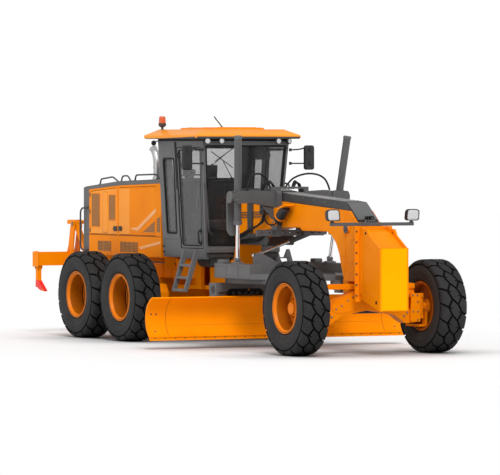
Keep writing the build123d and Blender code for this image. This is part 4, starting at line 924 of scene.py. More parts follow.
# console, column, steering wheel, pedals, display
sh.prism("y", rounded([(2090, 1360), (2250, 1360), (2230, 1800), (2080, 2070), (2000, 2050), (2095, 1800)], 24), 0, 196)
sh.prism("y", rounded([(2050, 2040), (2150, 2075), (2205, 2150), (2170, 2165), (2110, 2100), (2040, 2075)], 10), 0, 300)
c, axis = Vector((2010, 0, 2110)), Vector((-0.45, 0, 0.89)).normalized()
u = axis.cross(Vector((0, 1, 0))).normalized(); w = Vector((0, 1, 0))
ringp = [[c + axis * (12 + 13 * math.sin(t)) + (u * math.cos(a) + w * math.sin(a)) * (190 + 13 * math.cos(t)) for t in (2 * math.pi * j / 12 for j in range(12))] for a in (2 * math.pi * i / 64 for i in range(64))]
sh.loops(ringp, wrap=True)
for a in (0.5, 2.64, 4.71):
    d = u * math.cos(a) + w * math.sin(a)
    sh.rod(c + axis * 10 + d * 25, c + axis * 12 + d * 186, 13, 12, 10)
sh.turn(c - axis * 8, axis, [(0, 44), (6, 50), (20, 50), (28, 40), (30, 0)], 32)
sh.rod(c - axis * 110, c, 28, 24)
for y in (-150, -60, 150):
    sh.prism("y", rounded([(2140, 1375), (2260, 1440), (2270, 1500), (2255, 1500), (2235, 1450), (2130, 1392)], 6, 2), y + (12 if abs(y) > 100 else 0), 70)
sh.object("console", "front_body", bevel=3, slot="black_plastic")
sh = Shape().mat("brown")
sh.box((1160, 2320), (-600, 600), (1358, 1366))
for y in range(-560, 561, 80):
    sh.box((1700, 2300), (y - 10, y + 10), (1366, 1371))
sh.mat("trim")
for s in (-1, 1):
    sh.prism("y", rounded([(1160, 1366), (1690, 1366), (1690, 1600), (1600, 1660), (1160, 1660)], 30), s * 560, 160)
sh.prism("y", rounded([(1160, 1366), (1230, 1366), (1215, 2440), (1160, 2440)], 20), 0, 1150)
sh.prism("y", rounded([(1160, 2975), (2380, 2975), (2400, 3055), (1160, 3055)], 20), 0, 1300)
sh.mat("plastic")
sh.prism("y", rounded([(2230, 2500), (2275, 2510), (2290, 2680), (2250, 2680)], 12), -470, 150)
sh.tube([(2300, -540, 2560), (2260, -500, 2600)], 12, 10)
sh.object("cab_lining", "front_body", bevel=3)
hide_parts("operator_station")

# ---- steps and handrails -----------------------------------------------------------------------------------
sh = Shape().mat("grey_light")
for s in (-1, 1):
    for y, z in ((905, 800), (835, 985), (785, 1170)):
        for k in range(9):
            x0 = 1985 + k * 37
            sh.prism("z", rounded([(x0, s * (y + 6)), (x0 + 22, s * (y + 6)), (x0 + 22, s * (y + 89)), (x0, s * (y + 89))], 6, 2), z + 32.5, 5)
sh.object("tread_grips", "front_body", bevel=1.2)
sh = Shape().mat("grey_dark")
for s in (-1, 1):
    sh.tube([(2430, s * 690, 2420), (2500, s * 720, 2400), (2520, s * 700, 2330), (2500, s * 640, 1700), (2440, s * 560, 1650)], 14, 14, 60)
sh.object("front_handrails", "front_body", slot="grey_paint")

# ---- frame cover, boxes and lines on the front frame -----------------------------------------------------------
sh = Shape().mat("grey_light")
tops = [(3420, 2345), (4170, 2271), (5800, 2180)]
for (x0, z0), (x1, z1) in zip(tops, tops[1:]):
    sh.loops([[(x0 + 20, -145, z0), (x0 + 20, 145, z0), (x0 + 20, 145, z0 + 5), (x0 + 20, -145, z0 + 5)],
              [(x1 - 20, -145, z1 + 2), (x1 - 20, 145, z1 + 2), (x1 - 20, 145, z1 + 6), (x1 - 20, -145, z1 + 6)]])
    k = int((x1 - x0) / 120)
    for i in range(k):
        t = (i + 0.5) / k
        x, z = x0 + (x1 - x0) * t, z0 + (z1 - z0) * t + 6
        for y in (-110, -55, 0, 55, 110):
            a = 0.6 if (i + int(y / 55)) % 2 else -0.6
            dx, dy = 30 * math.cos(a), 30 * math.sin(a)
            sh.loops([[(x - dx, y - dy, z - 1), (x - dy * 0.2, y + dx * 0.2, z - 1), (x + dx, y + dy, z - 1), (x + dy * 0.2, y - dx * 0.2, z - 1)],
                      [(x - dx * .8, y - dy * .8, z + 3), (x - dy * 0.12, y + dx * 0.12, z + 3), (x + dx * .8, y + dy * .8, z + 3), (x + dy * 0.12, y - dx * 0.12, z + 3)]])
sh.mat("bolt")
for (x0, z0), (x1, z1) in zip(tops, tops[1:]):
    k = int((x1 - x0) / 260)
    for i in range(k):
        t = (i + 0.5) / k
        for s in (-1, 1):
            sh.hexa((x0 + (x1 - x0) * t, s * 158, z0 + (z1 - z0) * t), (0, 0, 1), 9, 10)
sh.object("walkway", "front_body", bevel=1.0)
sh = Shape().mat("grey")
sh.loops([[(5916, y, 2162), (6246, y, 1918), (6252, y, 1926), (5922, y, 2170)] for y in (-158, 158)])
for s in (-1, 1):
    sh.mat("grey_dark").prism("y", [(2520, 2200), (3400, 2203), (4170, 2160), (5790, 2072), (5790, 2082), (4170, 2172), (3400, 2215), (2520, 2212)], s * 172, 6)
    sh.mat("bolt")
    for x in range(2620, 5800, 330):
        z = 2345 - 45 - (0 if x < 3400 else (x - 3400) * 0.0705)
        sh.hexa((x, s * 170, z), (0, s, 0), 9, 9)
sh.object("nose_cover", "front_body", bevel=2, slot="grey_paint")
# nose valve with its short hoses, behind the lamp bar
sh = Shape().mat("iron")
sh.prism("y", rounded([(6268, 1838), (6332, 1838), (6332, 1905), (6268, 1905)], 8), 0, 200)
for y in (-70, -25, 20, 65):
    sh.mat("hose").tube([(6300, y, 1905), (6300, y, 1950), (6275, y * 0.8, 1975), (6240, y * 0.6, 1950), (6225, y * 0.5, 1915)], 11, 10, 30)
    sh.mat("bolt").rod((6300, y, 1900), (6300, y, 1922), 15, 6)
sh.object("nose_valve", "front_body", bevel=1)
# leg: stiffeners, weld, boss bolt, small plugs
sh = Shape().mat("orange")
for s in (-1, 1):
    sh.prism("y", [(5905, 1180), (5925, 1180), (5925, 2030), (5905, 2040)], s * 193, 8)
    sh.prism("y", [(5960, 1300), (6340, 1300), (6340, 1312), (5960, 1312)], s * 192, 6)
    sh.prism("y", rounded([(6290, 1060), (6384, 1060), (6384, 1820), (6300, 1820)], 14), s * 194, 9)
    for x, z in ((6100, 1640), (6180, 1640), (6100, 1180), (6250, 1420)):
        sh.hexa((x, s * 190, z), (0, s, 0), 10, 9)
    sh.mat("grey_mid").turn((5985, s * 224, 1790), (0, s, 0), [(-4, 64), (4, 62), (8, 56), (8, 38), (3, 34), (3, 0)], 40)
    sh.hexa((5985, s * 227, 1790), (0, s, 0), 24, 20)
    sh.mat("orange")
    # long side rib and drain plates of the goose-neck
    sh.prism("y", [(3900, 1800), (4560, 1800), (4590, 1757), (5350, 1757), (5350, 1769), (4596, 1769), (4566, 1812), (3900, 1812)], s * 192, 6)
    for x in range(4700, 5300, 110):
        sh.mat("iron").rod((x, s * 150, 1744), (x, s * 150, 1722), 14, 12)
        sh.mat("orange")
sh.object("leg_details", "front_body", bevel=2, slot="orange_paint")
# push block: flange bolts, face panel, ears, slots
sh = Shape().mat("yellow")
sh.prism("x", rounded([(-206, 652), (206, 652), (206, 1526), (-206, 1526)], 6, 2), 7008, 4)
sh.object("push_face", "front_body", bevel=1.5, slot="push_block_paint")
sh = Shape()
for s in (-1, 1):
    for i in range(7):
        z = 1760 - i * 152
        sh.mat("iron").hexa((6414, s * 282, z), (1, 0, 0), 12, 13)
        sh.hexa((6372, s * 212, z - 8), (0, s, 0), 11, 12)
    sh.mat("orange")
    sh.prism("y", [(6415, 1700), (6470, 1690), (6470, 880), (6415, 850)], s * 235, 10)
    for x0, z0, x1, z1 in ((6440, 1600, 6960, 1440), (6440, 960, 6960, 800)):
        sh.prism("y", [(x0, z0), (x1, z1), (x1, z1 + 6), (x0, z0 + 6)], s * 231.5, 3)
    sh.mat("seal").rod((6590, s * 231.8, 1735), (6590, s * 233, 1735), 20, 20)
    sh.rod((6900, s * 231.8, 760), (6900, s * 233, 760), 24, 20)
sh.mat("orange")
sh.prism("x", rounded([(-190, 1500), (190, 1500), (190, 1512), (-190, 1512)], 3, 2), 6996, 20)
sh.object("push_block_details", "front_body", bevel=1.5, slot="orange_paint")
# valve bank, accumulator and lines on the frame's sides by the cab
for side, s in SIDES:
    sh = Shape().mat("iron")
    sh.prism("y", rounded([(3440, 1965), (3560, 1965), (3560, 2150), (3440, 2150)], 14), s * 235, 90)
    sh.rod((3500, s * 290, 2000), (3500, s * 300, 2000), 26, 20, chamfer=3)
    sh.rod((3500, s * 290, 2090), (3500, s * 300, 2090), 26, 20, chamfer=3)
    sh.mat("bolt")
    for x, z in ((3455, 1985), (3545, 1985), (3455, 2135), (3545, 2135)):
        sh.hexa((x, s * 280, z), (0, s, 0), 8, 9)
    sh.mat("hose")
    for k, (x, z) in enumerate(((3470, 1970), (3500, 1965), (3530, 1968))):
        sh.tube([(x, s * 235, z), (x - 20, s * 250, z - 110), (3330 - 30 * k, s * (270 + 14 * k), 1790 - 20 * k), (3120 - 20 * k, s * 262, 1760 - 14 * k), (2900, s * 240, 1700 - 18 * k), (2660, s * 215, 1640 - 20 * k)], 12, 10, 110)
    sh.tube([(3560, s * 262, 1960), (3640, s * 296, 1870), (3800, s * 300, 1815), (3960, s * 300, 1822), (4060, s * 300, 1884)], 11, 10, 60)
    sh.mat("grey_dark")
    sh.prism("y", rounded([(2940, 1690), (3060, 1690), (3080, 2180), (2930, 2180)], 16), s * 205, 36)
    for k in range(3):
        z0 = 1985 - k * 36
        sh.mat("steel").tube([(2520, s * 200, z0), (2900, s * 200, z0), (3420, s * 203, z0 + 20)], 8, 10, 60)
    a0, b0 = Vector((4050, s * 300, 1880)), Vector((4312, s * 300, 2076))
    d0 = (b0 - a0).normalized()
    sh.mat("plastic").turn(a0, d0, [(0, 30), (0, 58), (14, 72), (150, 74), (154, 66), (168, 66), (172, 74), (310, 72), (328, 56), (328, 24)], 36)
    sh.mat("orange").turn(a0 + d0 * 84, d0, [(0, 77), (26, 77), (26, 73), (0, 73)], 36, close=True)
    sh.mat("orange").prism("y", rounded([(4190, 2072), (4400, 2128), (4406, 2102), (4198, 2044)], 6), s * 300, 158)
    sh.mat("iron").tube([a0 + d0 * 6, a0 - d0 * 30, (3996, s * 250, 1826), (3990, s * 205, 1830)], 16, 10, 30)
    sh.mat("bolt").rod(b0, b0 + d0 * 44, 20, 6)
    # frame-coloured doubler over the saddle's cheek below its arm
    sh.mat("orange").prism("y", [(3757, 1838), (3780, 1806), (3980, 1806), (3987, 1838), (3987, 2074), (3757, 2074)], s * 273.6, 3)
    sh.prism("x", [(s * 200, 1838), (s * 275, 1838), (s * 275, 2074), (s * 200, 2074)], 3986.6, 3)
    sh.object(f"frame_lines_{side}", "front_body", bevel=1.5)

# ---- under the cab: tank end, box and air bottle -----------------------------------------------------------------
sh = Shape().mat("plastic")
for s in (-1, 1):
    sh.mat("plastic").rod((1700, s * 350, 1240), (2080, s * 350, 1240), 88, 36, chamfer=14)
    for x in (1760, 2010):
        sh.mat("grey_dark").turn((x, s * 350, 1240), (1, 0, 0), [(0, 91), (24, 91), (24, 88), (0, 88)], 36, close=True)
    sh.mat("seal").turn((2080, s * 350, 1240), (1, 0, 0), [(0, 66), (8, 62), (10, 30), (16, 26), (17, 0)], 28)
    sh.mat("grey_dark").prism("x", rounded([(s * 230, 1180), (s * 430, 1180), (s * 430, 1298), (s * 230, 1298)], 14), 2240, 240)
    sh.mat("iron")
    for y in (260, 300, 340):
        sh.rod((2140, s * y, 1235), (2112, s * y, 1235), 14, 12)
sh.object("underfloor_tanks", "front_body", bevel=2)
# dark plate and hoses on the frame's side, behind the lift rods
for side, s in SIDES:
    sh = Shape().mat("grey_dark")
    sh.prism("y", rounded([(2700, 1508), (3560, 1508), (3600, 1560), (3600, 1640), (3420, 1676), (2700, 1676)], 24), s * 212, 26)
    sh.mat("bolt")
    for x in (2760, 3000, 3240, 3480):
        sh.hexa((x, s * 225, 1640), (0, s, 0), 10, 9)
    sh.mat("hose")
    for k in range(3):
        sh.tube([(3540 - 40 * k, s * 226, 1664), (3470 - 40 * k, s * (250 + 8 * k), 1632 - 20 * k), (3200, s * (256 + 8 * k), 1606 - 24 * k), (2900, s * (248 + 8 * k), 1584 - 24 * k), (2700, s * 216, 1570 - 24 * k)], 12, 10, 90)
    sh.object(f"frame_side_lines_{side}", "front_body", bevel=1.5)
# the dark plate below the sill is painted shade for the recess under the cab's front
sh = Shape().mat("grey_dark")
sh.prism("y", rounded([(2300, 1300), (2372, 1304), (2376, 1376), (2300, 1376)], 10), 0, 1180)
sh.mat("grey").prism("y", rounded([(2300, 1376), (2408, 1378), (2410, 1452), (2356, 1464), (2300, 1464)], 12), 0, 1216)
sh.object("cab_front_sill_and_shade_plate", "front_body", bevel=3, slot="grey_paint")

# ---- blade gear --------------------------------------------------------------------------------------------------
# cup straps and caps where the lift rods meet the drawbar
sh = Shape().mat("grey")
for s in (-1, 1):
    sh.turn((3682, s * 772, 1246), (0, 0, 1), [(0, 96), (14, 94), (20, 72), (26, 68)], 40)
    for a in range(4):
        t = math.pi / 4 + a * math.pi / 2
        sh.mat("bolt").hexa((3682 + 82 * math.cos(t), s * 772 + 82 * math.sin(t), 1258), (0, 0, 1), 9, 10)
    sh.mat("grey")
    sh.prism("y", rounded([(3155, 1042), (4292, 1042), (4292, 1062), (3155, 1062)], 4, 2), s * 883, 10)
    sh.prism("y", rounded([(3155, 1216), (4292, 1216), (4292, 1240), (3155, 1240)], 4, 2), s * 883, 10)
    for x in (3160, 3520, 3900, 4280):
        sh.prism("y", rounded([(x - 8, 1050), (x + 8, 1050), (x + 8, 1236), (x - 8, 1236)], 3, 2), s * 882, 8)
    sh.prism("y", rounded([(3160, 1245), (3340, 1245), (3320, 1300), (3180, 1300)], 20), s * 780, 120)
sh.mat("grey_dark")
sh.turn((3000, 0, 1095), (0, 0, 1), [(0, 150), (56, 150), (62, 140), (66, 80), (66, 60)], 40)
for k in range(8):
    a = 2 * math.pi * k / 8
    sh.mat("bolt").hexa((3000 + 134 * math.cos(a), 134 * math.sin(a), 1152), (0, 0, 1), 10, 10)
sh.object("drawbar_details", "drawbar", bevel=2, slot="grey_paint")
sh = Shape().mat("hose")
sh.tube([(3130, -60, 1166), (3200, -230, 1152), (3400, -390, 1200), (3560, -350, 1190), (3640, -250, 1120)], 13, 12, 110)
sh.tube([(3120, 60, 1166), (3200, 230, 1152), (3400, 380, 1200), (3540, 340, 1190), (3620, 240, 1120)], 13, 12, 110)
sh.object("drawbar_lines", "drawbar", slot="hose_rubber")
# circle: tooth ring inside, wear shoes, hub housing on the side plates
sh = Shape().mat("steel")
teeth = []
for k in range(72):
    a = 2 * math.pi * k / 72
    for da, r in ((-0.028, 600), (-0.012, 578), (0.012, 578), (0.028, 600)):
        teeth.append((3400 + r * math.cos(a + da), r * math.sin(a + da)))
outer = [(3400 + 612 * math.cos(2 * math.pi * k / 288), 612 * math.sin(2 * math.pi * k / 288)) for k in range(288)]
sh.loops([[(x, y, 958) for x, y in outer], [(x, y, 958) for x, y in teeth], [(x, y, 1012) for x, y in teeth], [(x, y, 1012) for x, y in outer]], wrap=True)
sh.mat("grey")
sh.turn((3400, 0, 985), (0, 0, 1), [(-22, 744), (22, 744), (22, 738), (-22, 738)], 96, close=True)
sh.object("circle_teeth", "circle", bevel=0.8, slot="wear_steel")
sh = Shape().mat("grey")
for s in (-1, 1):
    for x in (3120, 3240):
        sh.prism("x", [(s * 600, 825), (s * 880, 825), (s * 880, 560), (s * 800, 760), (s * 600, 812)], x, 14)
    sh.mat("grey_dark").turn((3245, s * 931, 300), (0, s, 0), [(0, 44), (6, 44), (8, 34), (14, 34)], 32)
    sh.mat("iron").turn((3195, s * 931, 860), (0, s, 0), [(0, 60), (5, 60), (7, 52), (7, 0)], 36)
    sh.mat("bolt")
    for a in range(6):
        t = a * math.pi / 3
        sh.hexa((3195 + 46 * math.cos(t), s * 937, 860 + 46 * math.sin(t)), (0, s, 0), 6, 7)
    sh.mat("grey")
sh.prism("y", rounded([(3074, 830), (3276, 830), (3276, 846), (3074, 846)], 4, 2), 0, 1830)
for s in (-1, 1):
    pocket = rounded([(s * 150, 742), (s * 742, 742), (s * 742, 822), (s * 700, 866), (s * 190, 866), (s * 150, 830)], 40, 5)
    sh.mat("seal").prism("x", pocket, 3279, 8)
    sh.mat("iron")
    for y, r in ((240, 26), (330, 30), (430, 26), (540, 30), (640, 24)):
        sh.rod((3280, s * y, 800), (3300, s * y, 800), r, 20, chamfer=4)
    sh.tube([(3290, s * 240, 800), (3304, s * 300, 776), (3304, s * 480, 776), (3290, s * 540, 800)], 9, 10, 40)
    sh.mat("orange").rod((3282, s * 385, 846), (3300, s * 385, 846), 12, 16)
    sh.mat("grey")
sh.object("circle_gussets", "circle", bevel=2, slot="grey_paint")
# blade: end-bit seams, edge bolts, slide rails
sh = Shape().mat("blade")
face = lambda z: 3618 - 0  # front lip of the blade's section


def front_x(z):
    """Front surface of the curved blade at height z, from its three-point arc."""
    (x1, z1), (x2, z2), (x3, z3) = (3520, 190), (3395, 445), (3618, 752)
    # circle through the three points
    a = 2 * (x2 - x1); b_ = 2 * (z2 - z1); c_ = x2 ** 2 + z2 ** 2 - x1 ** 2 - z1 ** 2
    d = 2 * (x3 - x2); e = 2 * (z3 - z2); f_ = x3 ** 2 + z3 ** 2 - x2 ** 2 - z2 ** 2
    cx = (c_ * e - f_ * b_) / (e * a - b_ * d); cz = (c_ * d - a * f_) / (b_ * d - a * e)
    r = math.hypot(x1 - cx, z1 - cz)
    return cx - math.sqrt(max(0, r * r - (z - cz) ** 2))


zs = [200 + i * 30 for i in range(19)]
for s in (-1, 1):
    for y in (1885,):
        ringz = [[(front_x(z) + 3, s * (y - 2), z), (front_x(z) + 3, s * (y + 240), z), (front_x(z) - 2, s * (y + 242), z), (front_x(z) - 2, s * (y - 4), z)] for z in zs]
        sh.loops(ringz)
    sh.prism("y", [(front_x(z) + 0, z) for z in zs] + [(front_x(z) + 14, z) for z in reversed(zs)], s * 2130, 8)
# seams and the line across the blade in the darker orange copy: painted shade
for s in (-1, 1):
    seam = [[(front_x(z) + 3.4, s * 1809, z), (front_x(z) + 3.4, s * 1823, z), (front_x(z) - 2, s * 1823, z), (front_x(z) - 2, s * 1809, z)] for z in zs]
    sh.mat("orange_shade").loops(seam)
    for y0, y1 in ((0, 1806),):
        sh.mat("orange_shade").loops([[(front_x(348) + 2.2, y, 346), (front_x(352) + 2.2, y, 351), (front_x(352) - 2, y, 351), (front_x(348) - 2, y, 346)] for y in (s * y0, s * y1)])
sh.mat("iron")
for s in (-1, 1):
    for y, z in ((2055, 516), (1976, 514), (2009, 262)):
        d = Vector((front_x(z) + 3, s * y, z))
        sh.turn(d, (1, 0, 0), [(-4, 14), (2, 14), (5, 10), (6, 0)], 16)
k = 26
for i in range(k):
    y = -2050 + i * 4100 / (k - 1)
    sh.turn((3531, y, 168), (1, 0, 0.25), [(0, 11), (5, 11), (8, 7), (8, 0)], 12)
sh.mat("steel")
for z, x1 in ((652, 3455), (268, 3435)):
    sh.box((3326, 3334), (-1604, 1604), (z - 13, z + 13))
sh.object("blade_details", "moldboard", bevel=1.5, slot="orange_paint")
# side-shift cylinder on the blade's back and its brackets
sh = Shape().mat("grey")
sh.rod((3290, -1180, 470), (3290, -60, 470), 42, 28, chamfer=6)
sh.mat("chrome").rod((3290, -60, 470), (3290, 600, 470), 24, 24)
sh.mat("grey")
for y in (-1180, 620):
    sh.prism("x", rounded([(y - 50, 420), (y + 50, 420), (y + 50, 520), (y - 50, 520)], 12), 3310, 90)
sh.object("blade_shift_cylinder", "moldboard", bevel=2)

# lift cylinders: glands, top caps, ports; saddle's trunnion caps
for side, s in SIDES:
    top, eye = Vector((3971, s * 913, 3127)), Vector((3682, s * 772, 1278))
    d = (eye - top).normalized()
    sh = Shape().mat("grey")
    sh.turn(top - d * 0, d, [(-2, 30), (0, 56), (16, 60), (40, 60), (46, 56)], 36)
    sh.turn(top + d * 1262, d, [(0, 56), (6, 66), (52, 66), (60, 58), (60, 34)], 36)
    sh.turn(top + d * 820, d, [(0, 56), (6, 72), (90, 72), (96, 56)], 36)
    sh.mat("steel").tube([top + d * 60 + Vector((-58, 0, 0)), top + d * 300 + Vector((-70, 0, 0)), top + d * 780 + Vector((-70, 0, 0))], 9, 10, 60)
    sh.mat("bolt").rod(top + d * 60 + Vector((-40, 0, 0)), top + d * 60 + Vector((-72, 0, 0)), 14, 6)
    sh.object(f"lift_glands_{side}", f"lift_barrel_{side}", bevel=2, slot="grey_paint")
    sh = Shape().mat("grey")
    sh.turn(eye - d * 60, d, [(0, 30), (8, 44), (40, 48), (66, 40)], 32)
    sh.object(f"lift_rod_boot_{side}", f"lift_rod_{side}", bevel=1.5)
    sh = Shape().mat("grey")
    sh.turn((3830.3, s * 978, 2227), (0, s, 0), [(0, 88), (8, 88), (12, 82), (12, 50), (6, 44), (6, 0)], 44)
    sh.mat("bolt")
    for a in range(6):
        t = a * math.pi / 3 + 0.3
        sh.hexa((3830.3 + 66 * math.cos(t), s * 990, 2227 + 66 * math.sin(t)), (0, s, 0), 9, 9)
    for x in (3740, 3925):
        for z in (2190, 2265):
            sh.hexa((3830.3 + (97 if x > 3800 else -97), s * 905, z), (1 if x > 3800 else -1, 0, 0), 10, 10)
    for z in (1700, 1860, 2020):
        sh.mat("bolt").hexa((3870, s * 272, z), (0, s, 0), 15, 14)
    sh.mat("grey_mid").prism("x", [(s * 272, 2100), (s * 272, 1900), (s * 300, 1900), (s * 470, 2108)], 3870, 26)
    plate = rounded([(s * 775, 1660), (s * 872, 1650), (s * 925, 1730), (s * 930, 2200), (s * 775, 2200)], 40, 5)
    sh.mat("grey").loops([[(x, y, z) for y, z in inset(plate, k)] for x, k in ((3622, 6), (3626, 0), (3644, 0), (3650, 6))])
    sh.prism("x", rounded([(s * 800, 2150), (s * 925, 2150), (s * 925, 2210), (s * 800, 2210)], 12), 3697, 96)
    sh.mat("bolt")
    for yy0, zz0 in ((850, 2170), (890, 2190), (850, 1760)):
        sh.hexa((3650, s * yy0, zz0), (1, 0, 0), 9, 8)
    sh.mat("grey_mid")
    sh.object(f"saddle_caps_{side}", "front_body", bevel=2, slot="grey_paint")
# hose bundle over the saddle on both sides
for side, s in SIDES:
    sh = Shape().mat("hose")
    for k in range(3):
        sh.tube([(3700 - 30 * k, s * 150, 2350), (3690 - 30 * k, s * 200, 2440 + 20 * k), (3640 - 30 * k, s * 300, 2420), (3600 - 24 * k, s * 330, 2240), (3590 - 20 * k, s * 300, 2160)], 12, 10, 70)
    sh.mat("bolt")
    for k in range(3):
        sh.rod((3700 - 30 * k, s * 150, 2342), (3700 - 30 * k, s * 150, 2372), 16, 6)
    sh.object(f"saddle_hoses_{side}", "front_body", slot="hose_rubber")

# ---- front axle details -----------------------------------------------------------------------------------------
sh = Shape().mat("orange")
for s in (-1, 1):
    for x in (6053, 6247):
        sh.prism("x", rounded([(s * 190, 880), (s * 250, 872), (s * 505, 768), (s * 600, 700), (s * 560, 610), (s * 420, 590), (s * 200, 640)], 26), x, 12)
        sgn = 1 if x > 6150 else -1
        sh.mat("bolt")
        for y, z in ((245, 820), (330, 775), (430, 700), (520, 655), (590, 540), (640, 590))[:6 if sgn > 0 else 4]:
            sh.hexa((6150 + sgn * 101, s * y, z), (sgn, 0, 0), 12, 12)
        sh.mat("orange").turn((6150 + sgn * 95, s * 740, 500), (sgn, 0, 0), [(0, 58), (8, 58), (12, 50), (12, 30), (6, 28), (6, 0)], 36)
sh.prism("z", rounded([(6070, -230), (6230, -230), (6230, 230), (6070, 230)], 20), 896, 14)
sh.object("axle_plates", "front_body", bevel=2.5, slot="orange_paint")
for side, s in SIDES:
    sh = Shape().mat("orange")
    for z0, z1 in ((498, 548), (800, 852)):
        sh.turn((6150, s * 915, z0), (0, 0, 1), [(0, 48), (2, 52), (z1 - z0 - 2, 52), (z1 - z0, 48)], 32)
    sh.turn((6150, s * 915, 850), (0, 0, 1), [(0, 40), (10, 38), (12, 20), (12, 0)], 28)
    sh.mat("bolt")
    for y, z in ((720, 835), (790, 835), (725, 600), (800, 480), (800, 600), (800, 740)):
        sh.hexa((6150 + 130, s * y, z), (1, 0, 0), 11, 10)
    sh.object(f"lean_bracket_details_{side}", f"lean_{side}", bevel=1.5, slot="orange_paint")
    sh = Shape().mat("orange")
    sh.turn((6150, s * 986, 674), (0, s, 0), [(0, 92), (8, 96), (18, 96)], 40)
    for k in range(8):
        t = 2 * math.pi * k / 8
        sh.mat("bolt").hexa((6150 + 80 * math.cos(t), s * 986, 674 + 80 * math.sin(t)), (0, -s, 0), 9, 9)
    sh.object(f"hub_flange_{side}", f"knuckle_{side}", bevel=1.5)

# ---- hood, cowl and rear ----------------------------------------------------------------------------------------
def hood_top(x):
    return 2369 + (x + 714) * (42 / 1514) if x > -714 else 2300 + (x + 1780) * (69 / 1066)


for side, s in SIDES:
    Y = 600

    def framed(sh, outline, mats, frame_w=12, r=10, d=7, y0=600):
        """Recessed grille: a thin frame standing proud and a mesh sheet set just inside it."""
        ring = rounded(outline, r, 3)
        inner = inset(ring, frame_w)
        a = [[(x, s * (y0 + 4), z) for x, z in ring], [(x, s * (y0 + 4), z) for x, z in inner], [(x, s * (y0 + 0.5), z) for x, z in inner], [(x, s * (y0 - 2), z) for x, z in ring]]
        sh.mat(mats[0]).loops(a, wrap=True)
        sh.mat(mats[1]).loops([[(x, s * (y0 + 0.8), z) for x, z in inset(ring, frame_w - 2)], [(x, s * (y0 - 2), z) for x, z in inset(ring, frame_w - 2)]])

    # rear door
    sh = Shape()
    for x0, x1, z0, z1 in ((-1688, -1371, 1708, 2250), (-1058, -808, 1818, 2228)):
        framed(sh, [(x0, z0), (x1, z0), (x1, z1), (x0, z1)], ("orange", "louvre"))
        k = int((z1 - z0) / 26)
        for i in range(1, k):
            z = z0 + i * (z1 - z0) / k
            sh.mat("louvre").loops([[(x, s * (Y + 1), z - 5), (x, s * (Y + 6), z - 7), (x, s * (Y + 5), z + 1), (x, s * (Y + 1), z + 5)] for x in (x0 + 14, x1 - 14)])
    # the long rounded pressing between the louvres: its edge ring in the darker orange is painted shade, its raised
    # face in the paler orange is painted light
    pill = rounded([(-1291, 1613), (-1072, 1613), (-1092, 2275), (-1278, 2275)], 88, 8)
    sh.mat("orange_shade").loops([[(x, s * (Y - 1), z) for x, z in pill], [(x, s * (Y + 1.5), z) for x, z in inset(pill, 1)], [(x, s * (Y + 1.5), z) for x, z in inset(pill, 9)], [(x, s * (Y - 1), z) for x, z in inset(pill, 10)]], wrap=True)
    sh.mat("soft").loops([[(x, s * (Y - 1), z) for x, z in inset(pill, 9)], [(x, s * (Y + 5), z) for x, z in inset(pill, 18)], [(x, s * (Y + 6), z) for x, z in inset(pill, 30)]])
    sh.mat("plastic")
    for a in range(8):
        t = math.pi * a / 4
        c = Vector((-838, s * (Y + 4), 1694))
        sh.rod(c, c + Vector((70 * math.cos(t), 0, 44 * math.sin(t))), 11, 8, 6)
    sh.turn((-838, s * Y, 1694), (0, s, 0), [(0, 34), (8, 34), (12, 26), (12, 0)], 24)
    sh.prism("y", rounded([(-800, 1656), (-752, 1656), (-752, 1732), (-800, 1732)], 8), s * (Y + 4), 12)
    sh.mat("grey_dark")
    for z in (1660, 1950, 2220):
        sh.rod((-1738, s * (Y + 4), z - 34), (-1738, s * (Y + 4), z + 34), 8, 14, chamfer=2)
    sh.object(f"rear_door_trim_{side}", f"hood_door_rear_{side}", bevel=1.2, slot="orange_paint")
    # front door
    sh = Shape()
    tri = [(94, 1640), (600, 1640), (600, 1852)]
    sh.mat("plastic")
    for a in range(8):
        t = math.pi * a / 4
        c = Vector((-624, s * (Y + 4), 1697))
        sh.rod(c, c + Vector((70 * math.cos(t), 0, 44 * math.sin(t))), 11, 8, 6)
    sh.turn((-624, s * Y, 1697), (0, s, 0), [(0, 34), (8, 34), (12, 26), (12, 0)], 24)
    sh.prism("y", rounded([(-700, 1659), (-662, 1659), (-662, 1735), (-700, 1735)], 8), s * (Y + 4), 12)
    framed(sh, tri, ("orange", "grille"), 14, 20)
    # the pressed crease that rises to the cab, in a paler orange as painted highlight; a paler panel round the handle
    # is painted light too
    sh.mat("soft").loops([[(x, s * (Y - 1), z) for x, z in ((-690, 1612), (-310, 1612), (-310, 2336), (-690, 2326))], [(x, s * (Y + 1.5), z) for x, z in ((-688, 1614), (-322, 1614), (-322, 2334), (-688, 2324))]])
    cr = [(-250, 1716), (-40, 1726), (612, 2030), (612, 1962), (-16, 1664), (-250, 1690)]
    sh.mat("crease_highlight").loops([[(x, s * (Y - 1), z) for x, z in cr], [(x, s * (Y + 5), z) for x, z in inset(cr, 5)]])
    sh.mat("orange")
    sh.loops([[(x, s * (Y - 1), z) for x, z in ((-672, 2330), (612, 2362), (612, 2352), (-672, 2320))], [(x, s * (Y + 3), z) for x, z in ((-670, 2328), (610, 2360), (610, 2354), (-670, 2322))]])
    sh.object(f"front_door_trim_{side}", f"hood_door_front_{side}", bevel=1.2, slot="orange_paint")
    # fixed hood panels
    sh = Shape()
    for x0, x1 in ((-1468, -950), (-654, 6)):
        framed(sh, [(x0, 1320), (x1, 1320), (x1, 1505), (x0, 1505)], ("orange", "grille"))
        k = int((x1 - x0) / 40)
        for i in range(1, k):
            x = x0 + i * (x1 - x0) / k
            sh.mat("grille").prism("y", [(x - 3, 1334), (x + 3, 1334), (x + 3, 1491), (x - 3, 1491)], s * (Y + 2), 4)
    sh.mat("seal").prism("y", [(-1776, 1586), (790, 1586), (790, 1594), (-1776, 1594)], s * (Y + 0.5), 2.5)
